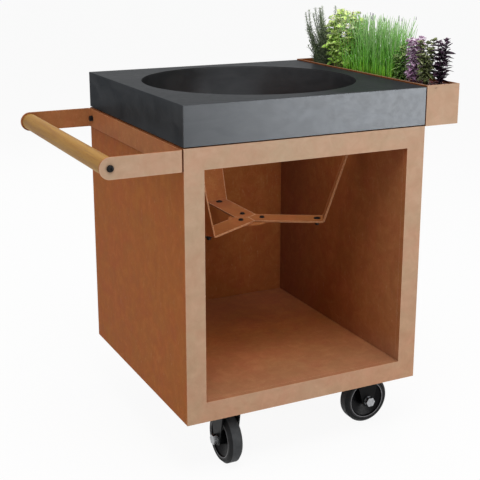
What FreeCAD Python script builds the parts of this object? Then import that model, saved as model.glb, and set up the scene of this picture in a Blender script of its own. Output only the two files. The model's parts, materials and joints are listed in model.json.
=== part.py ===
import FreeCAD, Part
import math
import os
from FreeCAD import Vector as V

# A wheeled grill table of weathering steel. It stands on the floor at z = 0 and its front faces -Y.
# The parts are drawn about the axis of the round hole and moved sideways at the end, so that the
# origin lies on the floor under the middle of the whole table with its handle and planter.

# Overall sizes, in millimetres
TABLE_WIDTH = 625.0
TABLE_DEPTH = 625.0
TABLE_HEIGHT = 880.0
SHEET = 3.0

# Worktop
LID_DEPTH = 90.0
LID_EDGE = 1.5
HOLE_RADIUS = 266.5
SHADOW_GAP = 3.0
CORNER_PLATE = 46.0
PAD_SIDE = 24.0

# Cabinet
STILE = 48.0
TOP_RAIL = 50.0
BOTTOM_RAIL = 48.5
FRAME_LIP = 12.0
FLOOR_FLANGE = 25.0
DECK_FLANGE = 15.0
LINER_RETURN = 15.0
BOTTOM_RECESS = 12.0
EDGE_SETBACK = 1.0

# Cradle under the hole
CRADLE_DROP = 357.0
CRADLE_WIDTH = 60.0
CRADLE_STRIP = 4.0
CRADLE_FOOT = 193.0
CRADLE_RIM = 11.0
CRADLE_HOOK = 28.0
CRADLE_LOW_FOLD = 6.0
CRADLE_TOP_FOLD = 3.0
CRADLE_ANGLES = (90.0, 210.0, 330.0)
NOTCH_CLEARANCE = 1.0
HUB_RADIUS = 52.0
HUB_BOLT_INSET = 17.0
REST_BOLT_INSET = 16.0
HOOK_BOLT_OFFSET = 16.5

# Handle on the left
HANDLE_REACH = 188.0
HANDLE_BAR = 41.0
HANDLE_STRIP = 4.0
HANDLE_HEIGHT = 48.0
HANDLE_DROP = 95.0
HANDLE_FOLD = 4.0
HANDLE_BOLT_INSET = 27.0
BAR_BOLT_DEPTH = 45.0
BAR_EDGE = 2.0

# Planter on the right
PLANTER_WIDTH = 94.0
PLANTER_HEIGHT = 97.0
PLANTER_RISE = 3.0
PLANTER_GAP = 2.0
PLANTER_BOLT_SPACING = 220.0
SOIL_DROP = 9.0
SOIL_CLEARANCE = 0.5
SOIL_HOLLOW = 12.0
SOIL_HOLLOW_DEPTH = 4.0
DRAIN_RADIUS = 5.0

# Casters
CASTER_TRAIL = 37.5
CASTER_INSET_X = 124.0
CASTER_INSET_Y = 94.5
WHEEL_DIAMETER = 125.0
WHEEL_WIDTH = 34.5
TYRE_SHOULDER = 6.5
TYRE_WALL = 13.5
CORE_RIM = 5.0
CORE_LEDGE = 2.5
CORE_DISH = 4.0
CORE_WEB = 7.0
CORE_DRAFT = 2.0
HUB_STEP = 2.75
HUB_OUTER = 15.0
AXLE_RADIUS = 6.0
AXLE_ACROSS_FLATS = 22.0
AXLE_HEAD = 10.5
AXLE_WASHER = 2.5
AXLE_WASHER_RADIUS = 12.5
FORK_SHEET = 3.5
FORK_GAP = 0.5
FORK_FOLD = 3.0
FORK_FOOT = 17.0
FORK_TAIL = 33.0
CROWN_GAP = 13.0
CROWN_DROP = 13.5
CROWN_RADIUS = 36.0
PLATE_LENGTH = 105.0
PLATE_WIDTH = 85.0
PLATE_CORNER = 8.0
PLATE_HOLE_INSET = 12.5
KINGPIN_RADIUS = 6.0
KINGPIN_HEAD = 4.0
FORK_NOSE = 2.0
RACE_RADIUS = 24.0
RACE_RIM = 7.0
RACE_DROP = 8.0
BALL_RADIUS = 3.0
BALL_CLEARANCE = 0.15
KINGPIN_CLEARANCE = 0.3
PEDAL_PIVOT_BACK = 20.5
PEDAL_PIVOT_RISE = 6.0
PEDAL_LENGTH = 54.0
PEDAL_SIDE_GAP = 3.5
PEDAL_PIN = 3.0
PIN_END = 1.0
SHOE_GAP = 5.0

# Fits and fasteners
RUNNING_FIT = 0.05
BOLT_CLEARANCE = 0.25
TYRE_FIT = 0.1
M6 = 3.0
M8 = 4.0
M10 = 5.0
M8_FLATS = 13.0
M10_FLATS = 17.0
HEX_HEAD = 8.0
NUT_HEIGHT = 6.5
THREAD_END = 2.0

# Low screw heads: radius and height
SHEET_SCREW_HEAD = (5.5, 3.5)
CRADLE_BOLT_HEAD = (7.0, 4.0)
REST_BOLT_HEAD = (9.0, 3.0)
BAR_BOLT_HEAD = (7.75, 5.5)
HEAD_TAPER = 0.67

# Herbs: name, middle counted from the planter's front edge, half length, height over the soil
HERBS = (
    ("herb_purple_basil", 38.0, 32.0, 122.0),
    ("herb_green_basil", 108.0, 32.0, 112.0),
    ("herb_chives", 262.0, 112.0, 168.0),
    ("herb_parsley", 440.0, 62.0, 160.0),
    ("herb_rosemary", 563.0, 54.0, 172.0),
)
HERB_HALF_WIDTH = 40.0

# Levels and half sizes that follow from the sizes above
UP = V(0, 0, 1)
DOWN = V(0, 0, -1)
RIGHT = V(1, 0, 0)
LEFT = V(-1, 0, 0)
FRONT = V(0, -1, 0)
BACK = V(0, 1, 0)
HALF_W = TABLE_WIDTH / 2
HALF_D = TABLE_DEPTH / 2
INNER_W = HALF_W - SHEET
INNER_D = HALF_D - SHEET
CASTER_HEIGHT = WHEEL_DIAMETER + CROWN_GAP + FORK_SHEET + CROWN_DROP
LID_TOP = TABLE_HEIGHT
LID_LOW = LID_TOP - LID_DEPTH
DECK_TOP = LID_LOW - SHADOW_GAP
DECK_LOW = DECK_TOP - SHEET
BODY_LOW = CASTER_HEIGHT - BOTTOM_RECESS
OPENING_HALF = HALF_W - STILE
OPENING_TOP = DECK_TOP - TOP_RAIL
OPENING_LOW = BODY_LOW + BOTTOM_RAIL
LIP_BACK = -INNER_D + FRAME_LIP
PANEL_TOP = CASTER_HEIGHT + SHEET
ARM_TOP = TABLE_HEIGHT - CRADLE_DROP
ARM_LOW = ARM_TOP - CRADLE_STRIP
HUB_BOLT_CIRCLE = HUB_RADIUS - HUB_BOLT_INSET
REST_BOLT_CIRCLE = CRADLE_FOOT - REST_BOLT_INSET
HOOK_RADIUS = HOLE_RADIUS + CRADLE_RIM
HOOK_BOLT_CIRCLE = HOOK_RADIUS + HOOK_BOLT_OFFSET
HOOK_TOP = DECK_TOP + CRADLE_STRIP
HANDLE_MID = TABLE_HEIGHT - HANDLE_DROP - HANDLE_HEIGHT / 2
HANDLE_END_X = -(HALF_W + HANDLE_REACH - HANDLE_HEIGHT / 2)
PLANTER_LEFT = HALF_W + PLANTER_GAP
PLANTER_RIGHT = PLANTER_LEFT + PLANTER_WIDTH
PLANTER_TOP = TABLE_HEIGHT + PLANTER_RISE
PLANTER_LOW = PLANTER_TOP - PLANTER_HEIGHT
SOIL_TOP = PLANTER_TOP - SOIL_DROP
WHEEL_RADIUS = WHEEL_DIAMETER / 2
HUB_HALF = WHEEL_WIDTH / 2 + HUB_STEP
LEG_INNER = HUB_HALF + FORK_GAP
CROWN_TOP = CASTER_HEIGHT - CROWN_DROP
CROWN_LOW = CROWN_TOP - FORK_SHEET
PLATE_LOW = CASTER_HEIGHT - SHEET
STUD_HALF_X = PLATE_LENGTH / 2 - PLATE_HOLE_INSET
STUD_HALF_Y = PLATE_WIDTH / 2 - PLATE_HOLE_INSET
PEDAL_PIVOT_X = CASTER_TRAIL + PEDAL_PIVOT_BACK
PEDAL_PIVOT_Z = WHEEL_DIAMETER + PEDAL_PIVOT_RISE
PEDAL_HALF = LEG_INNER - PEDAL_SIDE_GAP
TABLE_X = (HANDLE_REACH - PLANTER_GAP - PLANTER_WIDTH) / 2

# Casters: name, side, end, heading of the wheel from its swivel, whether it has a brake
CASTERS = (
    ("front_left", -1, -1, -90.0, False),
    ("front_right", 1, -1, 0.0, False),
    ("rear_left", -1, 1, 0.0, True),
    ("rear_right", 1, 1, 0.0, True),
)


# General shapes

def block(x0, x1, y0, y1, z0, z1):
    """Box between two corners."""
    return Part.makeBox(x1 - x0, y1 - y0, z1 - z0, V(x0, y0, z0))


def rod(radius, length, base, axis=UP):
    return Part.makeCylinder(radius, length, base, axis)


def tube(outer, inner, length, base, axis=UP):
    return rod(outer, length, base, axis).cut(rod(inner, length, base, axis))


def turned(profile):
    """Solid of revolution about Z of (radius, height) points."""
    points = [V(radius, 0, height) for radius, height in profile]
    face = Part.Face(Part.makePolygon(points + points[:1]))
    return face.revolve(V(0, 0, 0), UP, 360)


def aimed(shape, seat, axis):
    """Moves a shape drawn along +Z to its seat, pointing along the axis."""
    shape.Placement = FreeCAD.Placement(seat, FreeCAD.Rotation(UP, axis))
    return shape


def spun(shape, degrees, centre=V(0, 0, 0)):
    """Copy turned about a vertical line."""
    copy = shape.copy()
    copy.rotate(centre, UP, degrees)
    return copy


def tipped(shape):
    """Shape drawn in the XY plane and stood up: its Y becomes Z and its thickness runs along Y."""
    copy = shape.copy()
    copy.rotate(V(0, 0, 0), RIGHT, 90)
    return copy


def grouped(solids):
    """Separate identical pieces kept together in one node."""
    return Part.makeCompound(solids)


# Folded strips

def rounded_path(points, radii):
    """Edges through the points, with each corner between the ends rounded to its own radius."""
    edges = []
    start = points[0]
    for before, corner, after, radius in zip(points, points[1:], points[2:], radii):
        back = (before - corner).normalize()
        ahead = (after - corner).normalize()
        half = back.getAngle(ahead) / 2
        middle = (back + ahead).normalize()
        first = corner + back * (radius / math.tan(half))
        last = corner + ahead * (radius / math.tan(half))
        crest = corner + middle * (radius / math.sin(half) - radius)
        edges.append(Part.makeLine(start, first))
        edges.append(Part.Arc(first, crest, last).toShape())
        start = last
    edges.append(Part.makeLine(start, points[-1]))
    return edges


def offset_path(points, distance):
    """Points of a line in the XY plane moved sideways, to its left where distance is positive."""
    normals = []
    for first, last in zip(points, points[1:]):
        along = (last - first).normalize()
        normals.append(V(-along.y, along.x, 0))
    moved = [points[0] + normals[0] * distance]
    for corner, before, after in zip(points[1:], normals, normals[1:]):
        moved.append(corner + (before + after) * (distance / (1 + before.dot(after))))
    moved.append(points[-1] + normals[-1] * distance)
    return moved


def folded_strip(points, thickness, folds, width):
    """Flat bar folded along a line in the XY plane, with the inner radius of each fold."""
    left = offset_path(points, thickness / 2)
    right = offset_path(points, -thickness / 2)
    left_radii = []
    right_radii = []
    for before, corner, after, fold in zip(points, points[1:], points[2:], folds):
        turns_left = (corner - before).cross(after - corner).z > 0
        left_radii.append(fold if turns_left else fold + thickness)
        right_radii.append(fold + thickness if turns_left else fold)
    edges = rounded_path(left, left_radii)
    edges.append(Part.makeLine(left[-1], right[-1]))
    edges += rounded_path(right[::-1], right_radii[::-1])
    edges.append(Part.makeLine(right[0], left[0]))
    return Part.Face(Part.Wire(edges)).extrude(V(0, 0, width))


# Fasteners, drawn with the head below z = 0 and the shank along +Z

def hexagon(flats, height, base=0.0):
    corner = flats / math.sqrt(3)
    points = [
        V(corner * math.cos(math.radians(60 * i)), corner * math.sin(math.radians(60 * i)), base)
        for i in range(6)
    ]
    return Part.Face(Part.makePolygon(points + points[:1])).extrude(V(0, 0, height))


def hex_bolt(radius, flats, head, length):
    return hexagon(flats, head, -head).fuse(rod(radius, length, V(0, 0, 0)))


def button_screw(radius, head, length):
    """Low-headed screw whose head narrows to a flat of two thirds its width."""
    head_radius, head_height = head
    head_shape = [(0, 0), (head_radius, 0), (head_radius * HEAD_TAPER, -head_height), (0, -head_height)]
    return turned(head_shape).fuse(rod(radius, length, V(0, 0, 0)))


def hex_nut(radius, flats, height):
    return hexagon(flats, height).cut(rod(radius + RUNNING_FIT, height, V(0, 0, 0)))


# Cabinet

def front_frame():
    plate = block(-HALF_W, HALF_W, -HALF_D, -INNER_D, BODY_LOW, DECK_TOP)
    lip = block(-OPENING_HALF - SHEET, OPENING_HALF + SHEET, -INNER_D, LIP_BACK,
                OPENING_LOW - SHEET, OPENING_TOP + SHEET)
    opening = block(-OPENING_HALF, OPENING_HALF, -HALF_D, LIP_BACK, OPENING_LOW, OPENING_TOP)
    return plate.fuse(lip).cut(opening)


def handle_bolt_places():
    """Points on the left wall's outer face where the handle is bolted."""
    reach = HALF_D - HANDLE_BOLT_INSET
    return [V(-HALF_W, y, HANDLE_MID) for y in (-reach, reach)]


def left_side_panel():
    panel = block(-HALF_W, -INNER_W, -INNER_D, INNER_D, BODY_LOW, DECK_TOP)
    for place in handle_bolt_places():
        panel = panel.cut(rod(M8 + BOLT_CLEARANCE, SHEET, place, RIGHT))
    return panel


def right_side_panel():
    return block(INNER_W, HALF_W, -INNER_D, INNER_D, BODY_LOW, DECK_TOP)


def back_panel():
    return block(-HALF_W, HALF_W, INNER_D, HALF_D, BODY_LOW, DECK_TOP)


def right_liner():
    """Inner skin from the bottom panel to the deck, with a return under the deck."""
    skin = block(OPENING_HALF, OPENING_HALF + SHEET, LIP_BACK, INNER_D, PANEL_TOP, DECK_LOW)
    rim = block(OPENING_HALF, OPENING_HALF + LINER_RETURN, LIP_BACK, INNER_D, DECK_LOW - SHEET, DECK_LOW)
    return skin.fuse(rim).removeSplitter()


def left_liner():
    return right_liner().mirror(V(0, 0, 0), RIGHT)


def floor_panel():
    """Cabinet floor, flush with the bottom rail, folded down along both inner skins."""
    plate = block(-OPENING_HALF, OPENING_HALF, LIP_BACK, INNER_D, OPENING_LOW - SHEET, OPENING_LOW)
    under = block(-OPENING_HALF + SHEET, OPENING_HALF - SHEET, LIP_BACK, INNER_D,
                  OPENING_LOW - FLOOR_FLANGE, OPENING_LOW - SHEET)
    sides = block(-OPENING_HALF, OPENING_HALF, LIP_BACK, INNER_D,
                  OPENING_LOW - FLOOR_FLANGE, OPENING_LOW - SHEET)
    return plate.fuse(sides.cut(under)).removeSplitter()


def caster_centres():
    return [V(side * (HALF_W - CASTER_INSET_X), end * (HALF_D - CASTER_INSET_Y), 0)
            for name, side, end, heading, braked in CASTERS]


def caster_stud_places(level):
    places = []
    for centre in caster_centres():
        for x in (-STUD_HALF_X, STUD_HALF_X):
            for y in (-STUD_HALF_Y, STUD_HALF_Y):
                places.append(centre + V(x, y, level))
    return places


def bottom_panel():
    """Pan that carries the casters, its rim turned down inside the walls."""
    low = BODY_LOW + EDGE_SETBACK
    pan = block(-INNER_W, INNER_W, -INNER_D, INNER_D, low, PANEL_TOP)
    hollow = block(-INNER_W + SHEET, INNER_W - SHEET, -INNER_D + SHEET, INNER_D - SHEET, low, CASTER_HEIGHT)
    return pan.cut(hollow)


def hook_bolt_places(level):
    return [spun(Part.Vertex(HOOK_BOLT_CIRCLE, 0, level), angle).Point for angle in CRADLE_ANGLES]


def corner_places(level):
    reach_x = INNER_W - CORNER_PLATE / 2
    reach_y = INNER_D - CORNER_PLATE / 2
    return [V(x, y, level) for x in (-reach_x, reach_x) for y in (-reach_y, reach_y)]


def top_deck():
    """Deck that closes the cabinet: round hole with a notch for each strap, sides folded down."""
    deck = block(-INNER_W, INNER_W, -INNER_D, INNER_D, DECK_TOP - DECK_FLANGE, DECK_TOP)
    deck = deck.cut(block(-INNER_W + SHEET, INNER_W - SHEET, -INNER_D, INNER_D,
                          DECK_TOP - DECK_FLANGE, DECK_LOW))
    cuts = [rod(HOLE_RADIUS, SHEET, V(0, 0, DECK_LOW))]
    half = CRADLE_WIDTH / 2 + NOTCH_CLEARANCE
    notch = block(0, HOOK_RADIUS + CRADLE_STRIP + NOTCH_CLEARANCE, -half, half, DECK_LOW, DECK_TOP)
    cuts += [spun(notch, angle) for angle in CRADLE_ANGLES]
    cuts += [rod(M8 + BOLT_CLEARANCE, SHEET, place) for place in hook_bolt_places(DECK_LOW)]
    cuts += [rod(M6 + BOLT_CLEARANCE, SHEET, place) for place in corner_places(DECK_LOW)]
    for cut in cuts:
        deck = deck.cut(cut)
    return deck


# Worktop

def planter_bolt_places(x):
    """Bolts through the planter's inner wall into the worktop's skirt."""
    spots = (-PLANTER_BOLT_SPACING, 0.0, PLANTER_BOLT_SPACING)
    return [V(x, y, LID_TOP - LID_DEPTH / 2) for y in spots]


def worktop():
    """Sharp-edged sheet lid with a round hole."""
    lid = block(-HALF_W, HALF_W, -HALF_D, HALF_D, LID_LOW, LID_TOP)
    outer_edges = [edge for edge in lid.Edges if edge.BoundBox.ZMax > LID_LOW + SHEET]
    lid = lid.makeFillet(LID_EDGE, outer_edges)
    lid = lid.cut(block(-INNER_W, INNER_W, -INNER_D, INNER_D, LID_LOW, LID_TOP - SHEET))
    lid = lid.cut(rod(HOLE_RADIUS, SHEET, V(0, 0, LID_TOP - SHEET)))
    for place in planter_bolt_places(INNER_W):
        lid = lid.cut(rod(M6 + RUNNING_FIT, SHEET, place, RIGHT))
    return lid


def worktop_ring():
    """Rolled band that lines the hole down to the underside."""
    return tube(HOLE_RADIUS + SHEET, HOLE_RADIUS, LID_DEPTH - SHEET, V(0, 0, LID_LOW))


def worktop_corner_plates():
    """Square plates in the lid's corners, tapped for the screws."""
    half = CORNER_PLATE / 2
    plates = []
    for place in corner_places(LID_LOW):
        plate = block(place.x - half, place.x + half, place.y - half, place.y + half,
                      LID_LOW, LID_LOW + SHEET)
        plates.append(plate.cut(rod(M6 + RUNNING_FIT, SHEET, place)))
    return grouped(plates)


def drilled_square(thickness, hole):
    """Square washer lying on z = 0."""
    half = PAD_SIDE / 2
    return block(-half, half, -half, half, 0, thickness).cut(rod(hole, thickness, V(0, 0, 0)))


def worktop_pads():
    pad = drilled_square(SHADOW_GAP, M6 + BOLT_CLEARANCE)
    return grouped([pad.translated(place) for place in corner_places(DECK_TOP)])


def worktop_screws():
    length = SHEET + SHADOW_GAP + SHEET + THREAD_END
    return grouped([aimed(button_screw(M6, SHEET_SCREW_HEAD, length), place, UP)
                    for place in corner_places(DECK_LOW)])


# Cradle

def cradle_arm(angle):
    """Flat arm from the middle, folded up into a leaning strap that hooks over the deck's notch."""
    level = ARM_TOP - CRADLE_STRIP / 2
    hook = DECK_TOP + CRADLE_STRIP / 2
    line = [V(0, level, 0), V(CRADLE_FOOT, level, 0), V(HOOK_RADIUS, hook, 0),
            V(HOOK_RADIUS + CRADLE_HOOK, hook, 0)]
    strip = folded_strip(line, CRADLE_STRIP, (CRADLE_LOW_FOLD, CRADLE_TOP_FOLD), CRADLE_WIDTH)
    arm = tipped(strip)
    arm.translate(V(0, CRADLE_WIDTH / 2, 0))
    # Both sides of the inner end are cut back to 60 degrees so that three arms meet at the middle
    reach = CRADLE_WIDTH
    for side in (-1, 1):
        corner = [V(0, 0, ARM_LOW), V(0, side * reach, ARM_LOW),
                  V(reach / math.tan(math.radians(60)), side * reach, ARM_LOW)]
        wedge = Part.Face(Part.makePolygon(corner + corner[:1])).extrude(V(0, 0, CRADLE_STRIP))
        arm = arm.cut(wedge)
    for radius, hole, level in ((HUB_BOLT_CIRCLE, M8, ARM_LOW), (REST_BOLT_CIRCLE, M10, ARM_LOW),
                                (HOOK_BOLT_CIRCLE, M8, DECK_TOP)):
        arm = arm.cut(rod(hole + BOLT_CLEARANCE, CRADLE_STRIP, V(radius, 0, level)))
    return spun(arm, angle)


def around_cradle(piece):
    """One copy of a piece drawn on the +X side for each arm."""
    return [spun(piece, angle) for angle in CRADLE_ANGLES]


def cradle_hub_plate():
    plate = rod(HUB_RADIUS, CRADLE_STRIP, V(0, 0, ARM_LOW - CRADLE_STRIP))
    hole = rod(M8 + BOLT_CLEARANCE, CRADLE_STRIP, V(HUB_BOLT_CIRCLE, 0, ARM_LOW - CRADLE_STRIP))
    return plate.cut(grouped(around_cradle(hole)))


def cradle_bolts():
    """Low-headed bolts through the hub plate and through the deck."""
    hub = button_screw(M8, CRADLE_BOLT_HEAD, 2 * CRADLE_STRIP + NUT_HEIGHT + THREAD_END)
    hook = button_screw(M8, CRADLE_BOLT_HEAD, CRADLE_STRIP + SHEET + NUT_HEIGHT + THREAD_END)
    return grouped(around_cradle(aimed(hub, V(HUB_BOLT_CIRCLE, 0, ARM_TOP), DOWN))
                   + around_cradle(aimed(hook, V(HOOK_BOLT_CIRCLE, 0, HOOK_TOP), DOWN)))


def cradle_rest_bolts():
    bolt = button_screw(M10, REST_BOLT_HEAD, CRADLE_STRIP + NUT_HEIGHT + 3 * THREAD_END)
    return grouped(around_cradle(aimed(bolt, V(REST_BOLT_CIRCLE, 0, ARM_TOP), DOWN)))


def cradle_nuts():
    """Nuts under the hub plate, under the arms and under the deck."""
    nuts = []
    for thread, flats, radius, level in ((M8, M8_FLATS, HUB_BOLT_CIRCLE, ARM_LOW - CRADLE_STRIP),
                                         (M10, M10_FLATS, REST_BOLT_CIRCLE, ARM_LOW),
                                         (M8, M8_FLATS, HOOK_BOLT_CIRCLE, DECK_LOW)):
        nut = aimed(hex_nut(thread, flats, NUT_HEIGHT), V(radius, 0, level), DOWN)
        nuts += around_cradle(nut)
    return grouped(nuts)


# Handle

def handle_bracket():
    """Flat bar bent to a U: a plate along the wall and an arm at each end with a round tip."""
    wall_x = -HALF_W - HANDLE_STRIP / 2
    arm_y = HALF_D - HANDLE_STRIP / 2
    line = [V(HANDLE_END_X, -arm_y, 0), V(wall_x, -arm_y, 0), V(wall_x, arm_y, 0), V(HANDLE_END_X, arm_y, 0)]
    bracket = folded_strip(line, HANDLE_STRIP, (HANDLE_FOLD, HANDLE_FOLD), HANDLE_HEIGHT)
    bracket.translate(V(0, 0, HANDLE_MID - HANDLE_HEIGHT / 2))
    for y in (-HALF_D, HALF_D - HANDLE_STRIP):
        tip = V(HANDLE_END_X, y, HANDLE_MID)
        bracket = bracket.fuse(rod(HANDLE_HEIGHT / 2, HANDLE_STRIP, tip, BACK))
    bracket = bracket.removeSplitter()
    for y in (-HALF_D, HALF_D - HANDLE_STRIP):
        hole = rod(M8 + BOLT_CLEARANCE, HANDLE_STRIP, V(HANDLE_END_X, y, HANDLE_MID), BACK)
        bracket = bracket.cut(hole)
    for place in handle_bolt_places():
        bracket = bracket.cut(rod(M8 + BOLT_CLEARANCE, HANDLE_STRIP, place, LEFT))
    return bracket


def handle_bar():
    """Round wooden bar between the arms, with a pilot bore in each end."""
    half = HALF_D - HANDLE_STRIP
    radius = HANDLE_BAR / 2
    profile = [(0, -half), (radius - BAR_EDGE, -half), (radius, -half + BAR_EDGE),
               (radius, half - BAR_EDGE), (radius - BAR_EDGE, half), (0, half)]
    bar = aimed(turned(profile), V(HANDLE_END_X, 0, HANDLE_MID), BACK)
    bore = BAR_BOLT_DEPTH + THREAD_END
    for y, inward in ((-half, BACK), (half, FRONT)):
        bar = bar.cut(rod(M8 + RUNNING_FIT, bore, V(HANDLE_END_X, y, HANDLE_MID), inward))
    return bar


def handle_bar_bolts():
    bolts = []
    for y, inward in ((-HALF_D, BACK), (HALF_D, FRONT)):
        bolt = button_screw(M8, BAR_BOLT_HEAD, HANDLE_STRIP + BAR_BOLT_DEPTH)
        bolts.append(aimed(bolt, V(HANDLE_END_X, y, HANDLE_MID), inward))
    return grouped(bolts)


def handle_mount_bolts():
    length = HANDLE_STRIP + SHEET + NUT_HEIGHT + THREAD_END
    return grouped([aimed(hex_bolt(M8, M8_FLATS, HEX_HEAD, length), place + LEFT * HANDLE_STRIP, RIGHT)
                    for place in handle_bolt_places()])


def handle_mount_nuts():
    return grouped([aimed(hex_nut(M8, M8_FLATS, NUT_HEIGHT), place + RIGHT * SHEET, RIGHT)
                    for place in handle_bolt_places()])


# Planter

def planter_box():
    """Open box hung beside the worktop, with drain holes in its bottom."""
    box = block(PLANTER_LEFT, PLANTER_RIGHT, -HALF_D, HALF_D, PLANTER_LOW, PLANTER_TOP)
    box = box.cut(block(PLANTER_LEFT + SHEET, PLANTER_RIGHT - SHEET, -INNER_D, INNER_D,
                        PLANTER_LOW + SHEET, PLANTER_TOP))
    middle = (PLANTER_LEFT + PLANTER_RIGHT) / 2
    for place in planter_bolt_places(PLANTER_LEFT):
        box = box.cut(rod(M6 + BOLT_CLEARANCE, SHEET, place, RIGHT))
        box = box.cut(rod(DRAIN_RADIUS, SHEET, V(middle, place.y, PLANTER_LOW)))
    return box


def planter_bolts():
    length = SHEET + PLANTER_GAP + SHEET + THREAD_END
    return grouped([aimed(button_screw(M6, SHEET_SCREW_HEAD, length), place, LEFT)
                    for place in planter_bolt_places(PLANTER_LEFT + SHEET)])


def planter_spacers():
    return grouped([aimed(drilled_square(PLANTER_GAP, M6 + BOLT_CLEARANCE), place, RIGHT)
                    for place in planter_bolt_places(HALF_W)])


def planter_soil():
    """Potting soil that fills the box, with a hollow round each bolt head."""
    play = SHEET + SOIL_CLEARANCE
    soil = block(PLANTER_LEFT + play, PLANTER_RIGHT - play, -HALF_D + play, HALF_D - play,
                 PLANTER_LOW + SHEET, SOIL_TOP)
    half = SOIL_HOLLOW / 2
    for place in planter_bolt_places(PLANTER_LEFT + SHEET):
        soil = soil.cut(block(place.x, place.x + SOIL_HOLLOW_DEPTH, place.y - half, place.y + half,
                              place.z - half, place.z + half))
    return soil


def herb_clump(front_offset, half_length, height):
    """Plain outer form of one clump of leaves: an eight-sided stack that swells and closes."""
    middle = V((PLANTER_LEFT + PLANTER_RIGHT) / 2, -HALF_D + front_offset, SOIL_TOP)
    rings = []
    for level, spread in ((0.0, 0.55), (0.3, 0.9), (0.7, 1.0), (1.0, 0.5)):
        angles = [math.radians(45 * i + 22.5) for i in range(8)]
        rings.append([middle + V(HERB_HALF_WIDTH * spread * math.cos(angle),
                                 half_length * spread * math.sin(angle), height * level) for angle in angles])
    outlines = [rings[0], rings[-1]]
    for low, high in zip(rings, rings[1:]):
        outlines += [[low[i - 1], low[i], high[i], high[i - 1]] for i in range(8)]
    faces = [Part.Face(Part.makePolygon(outline + outline[:1])) for outline in outlines]
    return Part.Solid(Part.Shell(faces))


# Casters, drawn with the swivel axis on Z and the wheel trailing towards +X

def caster_plate():
    """Mounting plate with the upper race of the swivel bearing pressed under it."""
    plate = block(-PLATE_LENGTH / 2, PLATE_LENGTH / 2, -PLATE_WIDTH / 2, PLATE_WIDTH / 2,
                  PLATE_LOW, CASTER_HEIGHT)
    upright = [edge for edge in plate.Edges if edge.BoundBox.ZLength > SHEET / 2]
    plate = plate.makeFillet(PLATE_CORNER, upright)
    race_low = CASTER_HEIGHT - RACE_DROP
    plate = plate.fuse(rod(RACE_RADIUS + RACE_RIM, RACE_DROP - SHEET, V(0, 0, race_low)))
    plate = plate.cut(rod(KINGPIN_RADIUS + RUNNING_FIT, RACE_DROP, V(0, 0, race_low)))
    for x in (-STUD_HALF_X, STUD_HALF_X):
        for y in (-STUD_HALF_Y, STUD_HALF_Y):
            plate = plate.cut(rod(M8 + BOLT_CLEARANCE, SHEET, V(x, y, PLATE_LOW)))
    return plate


def kingpin():
    """Rivet of the swivel, set flush in the plate, with its head under the fork's crown."""
    head_top = CROWN_LOW - KINGPIN_CLEARANCE
    head_low = head_top - KINGPIN_HEAD
    return turned([(0, CASTER_HEIGHT), (KINGPIN_RADIUS, CASTER_HEIGHT), (KINGPIN_RADIUS, head_top),
                   (2 * KINGPIN_RADIUS, head_top), (1.6 * KINGPIN_RADIUS, head_low), (0, head_low)])


def ball_ring():
    """Ring of bearing balls between the two races, as one plain ring."""
    low = CROWN_TOP + BALL_CLEARANCE
    high = CASTER_HEIGHT - RACE_DROP - BALL_CLEARANCE
    return tube(RACE_RADIUS + BALL_RADIUS, RACE_RADIUS - BALL_RADIUS, high - low, V(0, 0, low))


def fork_outline():
    """Side view of the fork: a sloped leading edge, a steep trailing edge and a round foot."""
    axle = V(CASTER_TRAIL, WHEEL_RADIUS, 0)
    top_front = V(-FORK_NOSE, CROWN_TOP, 0)
    top_back = V(CASTER_TRAIL + FORK_TAIL, CROWN_TOP, 0)

    def touch(corner, side):
        """Point where the line from a corner touches the round foot."""
        span = corner - axle
        turn = side * math.acos(FORK_FOOT / span.Length)
        heading = math.atan2(span.y, span.x) + turn
        return axle + V(math.cos(heading), math.sin(heading), 0) * FORK_FOOT

    front_touch = touch(top_front, 1)
    back_touch = touch(top_back, -1)
    foot = Part.Arc(back_touch, axle - V(0, FORK_FOOT, 0), front_touch).toShape()
    return [Part.makeLine(top_front, top_back), Part.makeLine(top_back, back_touch), foot,
            Part.makeLine(front_touch, top_front)]


def caster_fork(braked):
    """Fork pressed from one sheet: a round crown under the bearing and two legs."""
    side = Part.Face(Part.Wire(fork_outline())).extrude(V(0, 0, 4 * LEG_INNER))
    side = tipped(side)
    side.translate(V(0, 2 * LEG_INNER, 0))
    leg_y = LEG_INNER + FORK_SHEET / 2
    crown_z = CROWN_TOP - FORK_SHEET / 2
    foot_z = WHEEL_RADIUS - 2 * FORK_FOOT
    # Section across the fork, folded in the YZ plane and run along the trail
    line = [V(-leg_y, foot_z, 0), V(-leg_y, crown_z, 0), V(leg_y, crown_z, 0), V(leg_y, foot_z, 0)]
    run = CASTER_TRAIL + WHEEL_RADIUS
    channel = folded_strip(line, FORK_SHEET, (FORK_FOLD, FORK_FOLD), run)
    channel.Placement = FreeCAD.Placement(V(-10.0, 0, 0), FreeCAD.Rotation(V(1, 1, 1), 120))
    fork = channel.common(side)
    fork = fork.fuse(rod(CROWN_RADIUS, FORK_SHEET, V(0, 0, CROWN_LOW))).removeSplitter()
    fork = fork.cut(rod(KINGPIN_RADIUS + RUNNING_FIT, FORK_SHEET, V(0, 0, CROWN_LOW)))
    span = 4 * LEG_INNER
    fork = fork.cut(rod(AXLE_RADIUS + BOLT_CLEARANCE, span, V(CASTER_TRAIL, -span / 2, WHEEL_RADIUS), BACK))
    if braked:
        hole = rod(PEDAL_PIN + RUNNING_FIT, span, V(PEDAL_PIVOT_X, -span / 2, PEDAL_PIVOT_Z), BACK)
        fork = fork.cut(hole)
    return fork


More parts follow.
